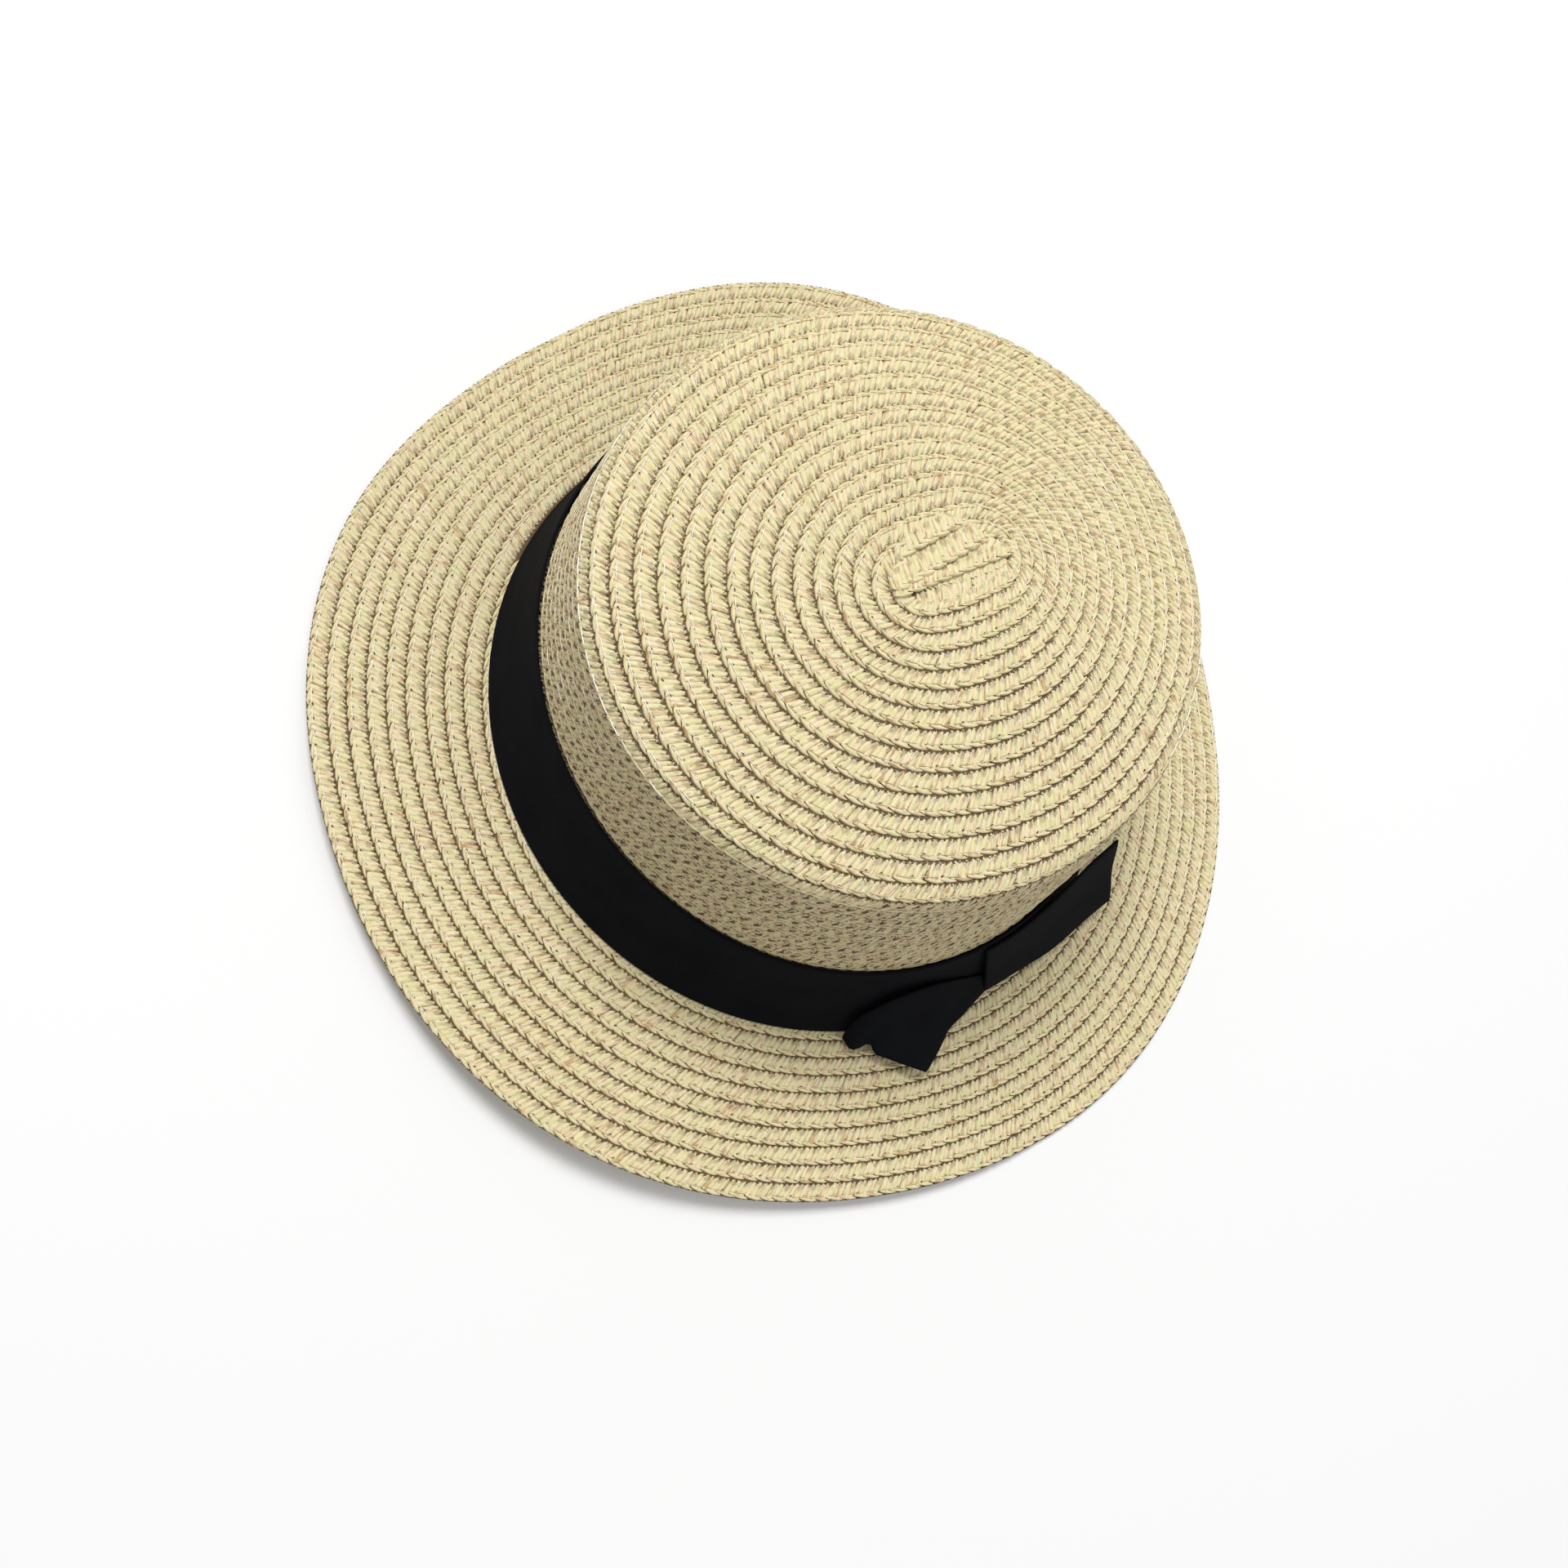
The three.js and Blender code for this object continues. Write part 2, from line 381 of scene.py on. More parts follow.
        # painted shade: the slits between ribs, the feet under the cord of the row before, and the grooves
        # are darkened
        tone = paint.mixed("MIX", self.depth(paint, fibre), tone, rgba(linear(*self.slit_shade)))
        paint.feed(paint.shader.inputs["Base Color"], tone)
        paint.polish(self.roughness, self.specular)
        paint.bumped(streak, self.bump_height, self.bump)
        return paint.material

    def front(self, paint: Paint) -> Num:
        """How far a place lies to the hat's front, the side away from the light, where the painted shade of
        the slits and the feet is made stronger.

        Args:
            paint: The material's nodes.

        Returns:
            A share from 0 to 1.
        """
        place = paint.node("ShaderNodeTexCoord", {}, {}).outputs["Object"]
        outward = paint.vector("NORMALIZE", paint.stretched(place, (1.0, 1.0, 0.0))).outputs[0]
        turned = paint.vector("DOT_PRODUCT", outward, self.shade_side_direction).outputs["Value"]
        return Num(paint, turned).ramp(*self.shade_side_range)

    def depth(self, paint: Paint, fibre: Any) -> Num:
        """Share of the painted shade colour: shade painted into the slits between ribs, under the row
        before and in grooves.

        Args:
            paint: The material's nodes.
            fibre: Place in millimetres along and across a strand, and a number of the strand's own.

        Returns:
            A share from 0 to 1.
        """
        along, across, own = paint.parts(fibre)
        chance = paint.node("ShaderNodeTexWhiteNoise", {"noise_dimensions": "1D"}, {"W": own}).outputs[0]
        luck = Num(paint, chance)
        aside = across.size() + (luck - 0.5) * self.luck_aside
        # painted shade is made stronger on the side of the hat away from the light
        front = self.front(paint)
        slit_shade_strength = luck.ramp(*self.luck_edge).line(*self.slit_luck) * front.line(*self.slit_shade_by_side)
        near = 1 - (along + luck * self.luck_along).ramp(*self.slit_fade)
        slit_shade = near * aside.ramp(*self.slit_edge) * slit_shade_strength
        # painted shade at the foot of a row, under the cord of the row before, stronger on the side away
        # from the light
        foot = (1 - (along - front * self.foot_shade_reach_by_side).ramp(*self.foot_fade)) * front.line(*self.foot_shade_by_side)
        patch = paint.noise(paint.stretched(fibre, self.patch_grain), 1.0, 1.0)
        # faint painted shade in the grooves between ribs, in patches
        groove_shade = aside.ramp(*self.groove_edge) * patch.ramp(*self.patch_edge) * self.groove_share
        return slit_shade.most(foot).most(groove_shade)

    def gaps_shade_and_pin_holes(self, paint: Paint, place: Any) -> Num:
        """Painted shade in the gaps of the braid, one for each cell of a row, and dark pin holes along the
        cord.

        Args:
            paint: The material's nodes.
            place: Place in millimetres along and across the row, and how open the braid is.

        Returns:
            A share from 0 to 1.
        """
        wobble = paint.noise(paint.stretched(place, self.row_grain), 1.0, 2.0) - 0.5
        along, out, strength = paint.parts(place)
        turns = (along + out * self.gap_slant) * (1 / self.cell) + wobble * self.gap_wander[0]
        aside = (turns.fraction() - 0.5).size() * self.cell
        drop = self.gap_place - strength * self.gap_open_shift
        lower = (out + drop + wobble * self.gap_wander[1]).size()
        narrow = aside * self.gap_squeeze[0] + lower * self.gap_squeeze[1]
        # painted shade in a gap, as strong as the braid is open
        gap = (1 - narrow.ramp(*self.gap_edge)) * strength
        beside = ((turns + self.pin_shift).fraction() - 0.5).size() * self.cell
        inner = (out - self.pin_place).size()
        narrow = beside * self.pin_squeeze[0] + inner * self.pin_squeeze[1]
        pin = (1 - narrow.ramp(*self.pin_edge)) * wobble.ramp(*self.pin_chance)
        return gap.most(pin)


@dataclass(frozen=True)
class CoreFinish:
    """Painted shade: the dark brown core under the braid, seen as the shade between the strands."""

    name: str = "straw_core_painted_shade"
    # dark brown painted shade, seen between the strands
    colour: Tuple[int, int, int] = (112, 88, 56)
    patch_shade: Tuple[float, float, float] = (0.55, 0.5, 0.42)
    patches_per_metre: float = 900.0
    roughness: float = 0.9
    bump_height: float = 0.0002
    bump: float = 0.4

    def material(self) -> bpy.types.Material:
        """Build the material.

        Returns:
            The material.
        """
        paint = Paint(self.name)
        where = paint.node("ShaderNodeTexCoord", {}, {}).outputs["Object"]
        patch = paint.noise(where, self.patches_per_metre)
        deep = rgba(linear(*self.colour))
        tone = paint.mixed("MULTIPLY", patch, deep, rgba(self.patch_shade))
        paint.feed(paint.shader.inputs["Base Color"], tone)
        paint.shader.inputs["Roughness"].default_value = self.roughness
        paint.bumped(patch, self.bump_height, self.bump)
        return paint.material


@dataclass(frozen=True)
class ThreadFinish:
    """Clear nylon sewing thread, with its glints painted white into its colour."""

    name: str = "clear_thread"
    dull: Tuple[int, int, int] = (214, 200, 160)
    # painted glint colour of the thread
    glinting: Tuple[int, int, int] = (255, 255, 248)
    roughness: float = 0.4
    specular: float = 0.5

    def material(self) -> bpy.types.Material:
        """Build the material.

        Returns:
            The material, which reads how far a stitch's colour is painted as a glint from the attribute
            `strand`.
        """
        paint = Paint(self.name)
        shine = Num(paint, paint.attribute("strand").outputs["Fac"])
        pale = rgba(linear(*self.dull))
        bright = rgba(linear(*self.glinting))
        tone = paint.mixed("MIX", shine.ramp(0.25, 0.75), pale, bright)
        paint.feed(paint.shader.inputs["Base Color"], tone)
        paint.polish(self.roughness, self.specular)
        return paint.material


@dataclass(frozen=True)
class RibbonFinish:
    """Matt black woven ribbon with fine cross ribs."""

    name: str = "black_ribbon"
    colour: Tuple[int, int, int] = (15, 16, 19)
    threads_per_mm: float = 2.4
    # noise cells per millimetre along and across the ribbon
    cloud_grain: Tuple[float, float, float] = (0.06, 0.12, 1.0)
    lint_grain: Tuple[float, float, float] = (1.3, 1.3, 1.0)
    cloud_shade: Tuple[float, float, float] = (0.72, 0.72, 0.75)
    cloud_edge: Tuple[float, float] = (0.3, 0.8)
    # shares of the weave and the lint in the paler tone, and of warp and weft in the relief
    tone_weights: Tuple[float, float] = (0.5, 0.3)
    relief_weights: Tuple[float, float] = (0.6, 0.4)
    thread_gain: float = 2.3
    roughness: Tuple[float, float] = (0.7, 0.9)
    specular: float = 0.04
    bump_height: float = 0.00012
    bump: float = 0.5

    def material(self) -> bpy.types.Material:
        """Build the material.

        Returns:
            The material, which reads the attribute `fibre`, in millimetres along and across the ribbon.
        """
        paint = Paint(self.name)
        fibre = paint.attribute("fibre").outputs["Vector"]
        along, across, _ = paint.parts(fibre)
        warp = self._wave(along * self.threads_per_mm)
        weft = self._wave(across * self.threads_per_mm)
        cloud = paint.noise(paint.stretched(fibre, self.cloud_grain), 1.0, 3.0)
        lint = paint.noise(paint.stretched(fibre, self.lint_grain), 1.0, 4.0)
        base = rgba(linear(*self.colour))
        pale = rgba([self.thread_gain * part for part in linear(*self.colour)])
        weave, fluff = self.tone_weights
        tone = paint.mixed("MIX", warp * weft * weave + lint * fluff, base, pale)
        tone = paint.mixed("MULTIPLY", cloud.ramp(*self.cloud_edge), tone, rgba(self.cloud_shade))
        smoothest, roughest = self.roughness
        paint.polish(smoothest, self.specular)
        paint.feed(paint.shader.inputs["Base Color"], tone)
        paint.feed(paint.shader.inputs["Roughness"], lint * (roughest - smoothest) + smoothest)
        raised, sunk = self.relief_weights
        paint.bumped(warp * raised + weft * sunk, self.bump_height, self.bump)
        return paint.material

    @staticmethod
    def _wave(turns: Num) -> Num:
        """Wave between 0 and 1 with one crest for each turn."""
        return (turns * TAU).sine() * 0.5 + 0.5


@dataclass(frozen=True)
class FloorFinish:
    """Plain white studio floor."""

    name: str = "studio_floor"
    colour: Tuple[float, float, float] = (0.82, 0.82, 0.82)
    roughness: float = 0.9
    specular: float = 0.1

    def material(self) -> bpy.types.Material:
        """Build the material.

        Returns:
            The material.
        """
        paint = Paint(self.name)
        paint.shader.inputs["Base Color"].default_value = rgba(self.colour)
        paint.polish(self.roughness, self.specular)
        return paint.material


# Shape of the straw


class SmoothTable:
    """Cubic curves through the rows of a table, over its first column."""

    def __init__(self, rows: Sequence[Sequence[float]]) -> None:
        """Work out the slope at every row.

        Args:
            rows: Rows of the table, whose first column rises.
        """
        data = np.array(rows, float)
        self.places = data[:, 0]
        self.values = data[:, 1:]
        steps = np.diff(self.places)[:, None]
        rises = np.diff(self.values, axis=0)
        self.slopes = np.empty_like(self.values)
        self.slopes[1:-1] = (rises[1:] + rises[:-1]) / (steps[1:] + steps[:-1])
        self.slopes[0] = (3 * rises[0] / steps[0] - self.slopes[1]) / 2
        self.slopes[-1] = (3 * rises[-1] / steps[-1] - self.slopes[-2]) / 2

    def at(self, place: np.ndarray) -> np.ndarray:
        """Read the curves.

        Args:
            place: Places along the first column.

        Returns:
            One row of values for each place.
        """
        low = np.clip(np.searchsorted(self.places, place, side="right") - 1, 0, len(self.places) - 2)
        step = (self.places[low + 1] - self.places[low])[..., None]
        share = (np.asarray(place)[..., None] - self.places[low][..., None]) / step
        rise = self.values[low + 1] - self.values[low]
        start, end = self.slopes[low] * step, self.slopes[low + 1] * step
        square, cube = share ** 2, share ** 3
        held = self.values[low] + rise * (3 * square - 2 * cube)
        return held + start * (share - 2 * square + cube) + end * (cube - square)


def unit(vectors: np.ndarray) -> np.ndarray:
    """Vectors at length one."""
    return vectors / np.maximum(np.linalg.norm(vectors, axis=-1, keepdims=True), 1e-9)


def smooth(low: float, high: float, value: np.ndarray) -> np.ndarray:
    """Smooth step from 0 at `low` to 1 at `high`."""
    share = np.clip((value - low) / (high - low), 0, 1)
    return share * share * (3 - 2 * share)


@dataclass(frozen=True)
class HatShape:
    """Outer face of the straw, in millimetres from the middle of the crown's foot."""

    half_width: float = 94.4
    half_length: float = 93.8
    wall_height: float = 68.0
    shoulder: float = 6.0
    tip_rise: float = 7.0
    tip_slope: Tuple[float, float] = (-0.04, 0.02)
    brim_side: float = 47.0
    brim_front: float = 50.4
    brim_lift: float = 9.0
    seat: float = 8.0
    fall_power: float = 1.5
    straw: float = STRAW
    gap: float = 0.3
    ribbon_width: float = 28.0
    # height, width, length, shift to the left, shift to the back
    wall_sections: Tuple[Tuple[float, ...], ...] = (
        (0.0, 1.0, 1.0, 0.0, 0.0),
        (0.12, 0.966, 0.958, -0.012, 0.0),
        (0.26, 0.937, 0.918, -0.025, 0.003),
        (0.42, 0.914, 0.893, -0.035, 0.008),
        (0.7, 0.884, 0.9, -0.041, 0.03),
        (1.0, 0.846, 0.912, -0.047, 0.051),
    )
    # angle, rise, swell
    rim_waves: Tuple[Tuple[float, ...], ...] = (
        (20, -0.2, 0.045),
        (64, 0, -0.02),
        (110, 0.7, 0.03),
        (150, 1, 0.065),
        (200, -0.1, -0.03),
        (226, -0.2, 0.012),
        (266, 0.42, -0.043),
        (305, 0.95, 0.006),
        (340, 0.34, -0.026),
    )

    @property
    def edge_turn(self) -> float:
        """Slope of the tip where the shoulder starts."""
        return math.atan(2 * self.tip_rise / (self.half_width * self.wall_sections[-1][1] - self.shoulder))

    @property
    def tip_half(self) -> Tuple[float, float]:
        """Half width and half length of the tip inside the shoulder."""
        inset = self.shoulder * (1 - math.sin(self.edge_turn))
        top = self.wall_sections[-1]
        return self.half_width * top[1] - inset, self.half_length * top[2] - inset

    @property
    def shoulder_length(self) -> float:
        """Length of the shoulder's arc."""
        return self.shoulder * (math.pi / 2 - self.edge_turn)

    def lean(self, x: np.ndarray, y: np.ndarray, height: np.ndarray) -> np.ndarray:
        """Move points of an upright crown to where its lean and tilt bring them.

        Args:
            x: Places to the wearer's left.
            y: Places to the back.
            height: Heights over the wall's foot.

        Returns:
            Points.
        """
        share = np.clip(height / self.wall_height, 0, 1)
        row = SmoothTable(self.wall_sections).at(share)
        tilt = share * (self.tip_slope[0] * x + self.tip_slope[1] * y)
        places = (x + self.half_width * row[..., 2], y + self.half_length * row[..., 3])
        return np.stack([*places, self.seat + self.gap + height + tilt], axis=-1)

    def wall(self, angle: np.ndarray, height: np.ndarray, outwards: Any = 0.0) -> np.ndarray:
        """Points of the wall, moved outwards.

        Args:
            angle: Angles round the crown.
            height: Heights over the wall's foot.
            outwards: Distances from the face.

        Returns:
            Points.
        """
        row = SmoothTable(self.wall_sections).at(np.clip(height / self.wall_height, 0, 1))
        x = (self.half_width * row[..., 0] + outwards) * np.cos(angle)
        y = (self.half_length * row[..., 1] + outwards) * np.sin(angle)
        return self.lean(x, y, height)

    def shoulder_point(self, angle: np.ndarray, turn: np.ndarray) -> np.ndarray:
        """Points of the rounded shoulder at a slope from level.

        Args:
            angle: Angles round the crown.
            turn: Slopes from level, in radians.

        Returns:
            Points.
        """
        top = self.wall_sections[-1]
        reach = self.shoulder * (np.sin(turn) - 1)
        x = (self.half_width * top[1] + reach) * np.cos(angle)
        y = (self.half_length * top[2] + reach) * np.sin(angle)
        return self.lean(x, y, self.wall_height + self.shoulder * np.cos(turn))

    def tip(self, plan: np.ndarray) -> Tuple[np.ndarray, np.ndarray]:
        """Points and normals of the domed tip over places of its plan.

        Args:
            plan: Places from the tip's middle, seen from above.

        Returns:
            Points and unit normals.
        """
        half = np.array(self.tip_half)
        share = ((plan / half) ** 2).sum(axis=-1)
        height = self.wall_height + self.shoulder * math.cos(self.edge_turn) + self.tip_rise * (1 - share)
        slope = -2 * self.tip_rise * plan / half ** 2 + np.array(self.tip_slope)
        normal = np.concatenate([-slope, np.ones_like(slope[..., :1])], axis=-1)
        return self.lean(plan[..., 0], plan[..., 1], height), unit(normal)

    def side(self, angle: np.ndarray, down: np.ndarray) -> np.ndarray:
        """Points of the shoulder and wall, `down` millimetres below the tip's edge.

        Args:
            angle: Angles round the crown.
            down: Lengths down the face from the tip's edge.

        Returns:
            Points.
        """
        turn = self.edge_turn + np.clip(down, 0, self.shoulder_length) / self.shoulder
        height = self.wall_height - (down - self.shoulder_length)
        curved = self.shoulder_point(angle, turn)
        straight = self.wall(angle, np.clip(height, 0, self.wall_height))
        return np.where((down < self.shoulder_length)[..., None], curved, straight)

    def wave(self, angle: np.ndarray) -> np.ndarray:
        """Rise and swell of the rim, running as half a cosine from row to row.

        Args:
            angle: Angles round the brim.

        Returns:
            Two numbers for each angle.
        """
        rows = np.array(self.rim_waves, float)
        rows = np.vstack([rows, rows[:1] + [360, 0, 0]])
        turn = rows[0, 0] + np.mod(np.degrees(angle) - rows[0, 0], 360)
        low = np.clip(np.searchsorted(rows[:, 0], turn, side="right") - 1, 0, len(rows) - 2)
        share = (turn - rows[low, 0]) / (rows[low + 1, 0] - rows[low, 0])
        ease = ((1 - np.cos(np.pi * share)) / 2)[..., None]
        return rows[low, 1:] * (1 - ease) + rows[low + 1, 1:] * ease

    def brim(self, angle: np.ndarray, share: np.ndarray) -> np.ndarray:
        """Points of the brim's top face at shares of its width.

        Args:
            angle: Angles round the brim.
            share: Shares of the width from the crown to the rim.

        Returns:
            Points.
        """
        wave = self.wave(angle)
        rim_x = self.half_width + self.brim_side * (1 + wave[..., 1])
        rim_y = self.half_length + self.brim_front * (1 + wave[..., 1])
        foot_x, foot_y = self.half_width - self.straw, self.half_length - self.straw
        x = (foot_x + (rim_x - foot_x) * share) * np.cos(angle)
        y = (foot_y + (rim_y - foot_y) * share) * np.sin(angle)
        fall = np.clip(share, 0, None) ** self.fall_power
        under = (self.seat - self.straw) * (1 - fall) + self.brim_lift * wave[..., 0] * fall
        return np.stack([x, y, np.maximum(under, 0) + self.straw], axis=-1)


def facing(spot: Callable[..., np.ndarray], angle: np.ndarray, out: np.ndarray) -> np.ndarray:
    """Normals of a face whose points are given by an angle and a distance outwards.

    Args:
        spot: Function that gives the points.
        angle: Angles.
        out: Distances.

    Returns:
        Unit normals.
    """
    turn, step = 0.002, 0.05
    along = spot(angle + turn, out) - spot(angle - turn, out)
    outwards = spot(angle, out + step) - spot(angle, out - step)
    return unit(np.cross(outwards, along))


# Rows of braid


class Rows:
    """A braid's path. Subclasses say where a place on it lies."""

    path: np.ndarray
    total: np.ndarray

    def measure(self, points: np.ndarray, total: np.ndarray) -> None:
        """Keep the path's turning angle against the length along it.

        Args:
            points: Points of the path.
            total: Angle turned at each of them.
        """
        steps = np.linalg.norm(np.diff(points, axis=0), axis=1)
        self.path = np.concatenate([[0.0], np.cumsum(steps)])
        self.total = total

    def spot(self, along: np.ndarray, out: np.ndarray) -> Tuple[np.ndarray, np.ndarray]:
        """Points and normals of the straw's face beside the path."""
        raise NotImplementedError


@dataclass
class CrownRows(Rows):
    """Spiral from a straight start on the tip, over the shoulder and down the wall."""

    shape: HatShape
    pitch: float = ROW_PITCH
    start_half: float = 13.2
    start_middle: Tuple[float, float] = (0.65, 8.4)
    start_turn: float = math.radians(1)
    # how far the first turns bulge to one side, where along them, and over what length
    almond: float = 2.2
    almond_place: float = -3.0
    almond_fade: float = 10.0
    almond_side: float = 6.0
    # how fast the rows shorten to ovals, and the share of the tip where they are round
    fade: float = 25.0
    oval_share: float = 0.6
    last_height: float = 24.0
    spread_limits: Tuple[float, float] = (0.6, 1.2)
    least_down: float = 0.06
    samples: int = 900

    def __post_init__(self) -> None:
        """Lay the path."""
        self.reach = self.shape.tip_half[0]
        length = self.reach + self.shape.shoulder_length + self.shape.wall_height - self.last_height
        turns = length / self.pitch
        total = np.linspace(0.0, TAU * turns, int(turns * self.samples))
        distance = total * self.pitch / TAU
        angle = total - math.pi / 2
        plan = self.level(np.minimum(distance, self.reach), angle)
        tip = self.shape.tip(plan)[0]
        side = self.shape.side(angle, np.maximum(distance - self.reach, 0))
        self.measure(np.where((distance < self.reach)[:, None], tip, side), total)
        heading = unit(np.gradient(plan, axis=0) + 1e-12)
        self.plan = plan
        self.outward = np.stack([heading[:, 1], -heading[:, 0]], axis=1)
        step = 0.2
        wider = self.level(np.minimum(distance, self.reach) + step, angle)
        change = (wider - plan) / step
        self.spread = np.clip((change * self.outward).sum(axis=1), *self.spread_limits)
        self.slip = np.where(distance < self.reach, (change * heading).sum(axis=1), 0.0)

    def level(self, distance: np.ndarray, angle: np.ndarray) -> np.ndarray:
        """Plan of the row that lies a distance from the straight start.

        Args:
            distance: Distances from the straight start.
            angle: Angles round the tip's middle.

        Returns:
            Places from the tip's middle: oblong rows near the start, ovals near the edge.
        """
        share = distance / self.reach
        last_half = self.shape.tip_half[1] - self.reach
        half = last_half + (self.start_half - last_half) * np.exp(-distance / self.fade)
        turn = np.mod(angle + math.pi / 2, TAU) / TAU
        quarter = math.pi * distance / 2
        run = turn * (4 * half + 4 * quarter)
        safe = np.maximum(distance, 1e-6)
        first = run < quarter
        rising = run < quarter + 2 * half
        far = run < 3 * quarter + 2 * half
        falling = run < 3 * quarter + 4 * half
        bend = np.select(
            [first, rising, far, falling],
            [
                run / safe - math.pi / 2,
                0 * run,
                (run - quarter - 2 * half) / safe,
                0 * run + math.pi,
            ],
            (run - 3 * quarter - 4 * half) / safe + math.pi,
        )
        middle = np.select(
            [first, rising, far, falling],
            [-half, run - quarter - half, half, half - (run - 3 * quarter - 2 * half)],
            -half,
        )
        oblong = np.stack([distance * np.cos(bend), distance * np.sin(bend) + middle], axis=-1)
        oval = np.stack([distance * np.cos(angle), (distance + half) * np.sin(angle)], axis=-1)
        ease = smooth(0.0, self.oval_share, share)[..., None]
        centre = np.array(self.start_middle) * (1 - share)[..., None]
        turned = self.start_turn * (1 - share)
        cosine, sine = np.cos(turned), np.sin(turned)
        x, y = np.moveaxis(oblong * (1 - ease) + oval * ease, -1, 0)
        beside = (y - self.almond_place) / self.almond_fade
        fading = np.exp(-(beside ** 2) - np.maximum(distance - self.pitch, 0) / self.almond_fade)
        x = x + self.almond * smooth(0.0, self.almond_side, x) * fading
        return np.stack([x * cosine - y * sine, x * sine + y * cosine], axis=-1) + centre

    def spot(self, along: np.ndarray, out: np.ndarray) -> Tuple[np.ndarray, np.ndarray]:
        """Points and normals of the straw's face beside the path.

        Args:
            along: Lengths along the path.
            out: Distances outwards from it.

        Returns:
            Points and unit normals.
        """
        total = np.interp(along, self.path, self.total)
        centre = total * self.pitch / TAU
        angle = total - math.pi / 2
        distance = centre + out
        spread = np.interp(along, self.path, self.spread)
        middle = np.stack([np.interp(along, self.path, self.plan[:, i]) for i in (0, 1)], axis=-1)
        outward = np.stack([np.interp(along, self.path, self.outward[:, i]) for i in (0, 1)], axis=-1)
        heading = np.stack([-outward[..., 1], outward[..., 0]], axis=-1)
        over = np.minimum(along, 0)[..., None]
        near = middle + outward * (out * spread)[..., None] + heading * over
        late = self.level(np.clip(distance, 0, self.reach), angle)
        plan = np.where((centre < self.reach)[..., None], near, late)
        tip, up = self.shape.tip(plan)
        down = np.maximum(distance - self.reach, 0)
        side = self.shape.side(angle, down)
        slip = np.interp(along, self.path, self.slip) * out
        side[..., :2] -= heading * slip[..., None]
        level = facing(self.shape.side, angle, np.maximum(down, self.least_down))
        on_tip = (distance < self.reach)[..., None]
        return np.where(on_tip, tip, side), np.where(on_tip, up, level)


@dataclass
class BrimRows(Rows):
    """Spiral from the crown's foot to the rim, where its end slides under the row before it."""

    shape: HatShape
    fewest: float = 9.5
    end_angle: float = math.radians(97)
    taper: float = 0.07
    pitch: float = ROW_PITCH
    samples: int = 1400

    def __post_init__(self) -> None:
        """Lay the path."""
        turns = self.fewest + 0.5
        total = np.linspace(0.0, TAU * turns, int(turns * self.samples))
        points = self.shape.brim(total + self.end_angle, self.share(total, total / TAU))
        self.measure(points, total)

    def across(self, total: np.ndarray) -> np.ndarray:
        """How many rows lie between the crown and the rim."""
        part = np.mod(total, TAU) / TAU
        return self.fewest + np.minimum(part, (1 - self.taper) * (1 - part) / self.taper)

    def share(self, total: np.ndarray, row: np.ndarray) -> np.ndarray:
        """Share of the brim's width at a row.

        Args:
            total: Angles turned by the path.
            row: Rows counted from the crown, with parts of a row.

        Returns:
            Shares of the width. The last turn slides under the row before it.
        """
        across = self.across(total)
        under = total / TAU - 0.5
        tucked = under + (row - under) * np.clip(across - under, 0, 1)
        last = under > self.fewest - 1
        return np.where(last, tucked, row) / across

    def spot(self, along: np.ndarray, out: np.ndarray) -> Tuple[np.ndarray, np.ndarray]:
        """Points and normals of the brim's top face beside the path.

        Args:
            along: Lengths along the path.
            out: Distances outwards from it.

        Returns:
            Points and unit normals.
        """
        total = np.interp(along, self.path, self.total)
        share = np.clip(self.share(total, (total / TAU) + out / self.pitch), 0, 1.0)
        angle = total + self.end_angle
        width = 50.0
        level = facing(lambda turn, reach: self.shape.brim(turn, reach / width), angle, share * width)
        return self.shape.brim(angle, share), level


@dataclass
class StraightRow(Rows):
    """Short straight strip on the tip, laid over the rows beside the start."""

    shape: HatShape
    start: Tuple[float, float]
    end: Tuple[float, float]
    lift: float
    # lengths over which its start and its end sink in
    tucked: Tuple[float, float]
    spread: float = 1.2
    ribbed: bool = True
    corded: bool = True
    # places across it where its lift sets in and is full, and how deep its ends sink
    lift_start: float = -3.5
    lift_full: float = 2.0
    sink: float = 1.5

    def __post_init__(self) -> None:
        """Lay the path."""
        ends = np.array([self.start, self.end])
        self.heading = unit(ends[1] - ends[0])
        self.path = np.array([0.0, float(np.linalg.norm(ends[1] - ends[0]))])
        self.total = np.zeros(2)

    def spot(self, along: np.ndarray, out: np.ndarray) -> Tuple[np.ndarray, np.ndarray]:
        """Points and normals of the tip beside the strip, which sinks in at its tucked ends.

        Args:
            along: Lengths along the strip.
            out: Distances to its right.

        Returns:
            Points and unit normals.
        """
        outward = np.array([self.heading[1], -self.heading[0]])
        aside = (out * self.spread)[..., None] * outward
        plan = np.array(self.start) + along[..., None] * self.heading + aside
        point, normal = self.shape.tip(plan)
        sunk = 1 - smooth(0, self.tucked[1], self.path[-1] - along)
        if self.tucked[0] > 0:
            sunk = sunk + 1 - smooth(-1, self.tucked[0], along)
        share = np.clip((out - self.lift_start) / (self.lift_full - self.lift_start), 0, 1)
        return point + normal * (self.lift * share - self.sink * sunk)[..., None], normal


# Meshes and strands


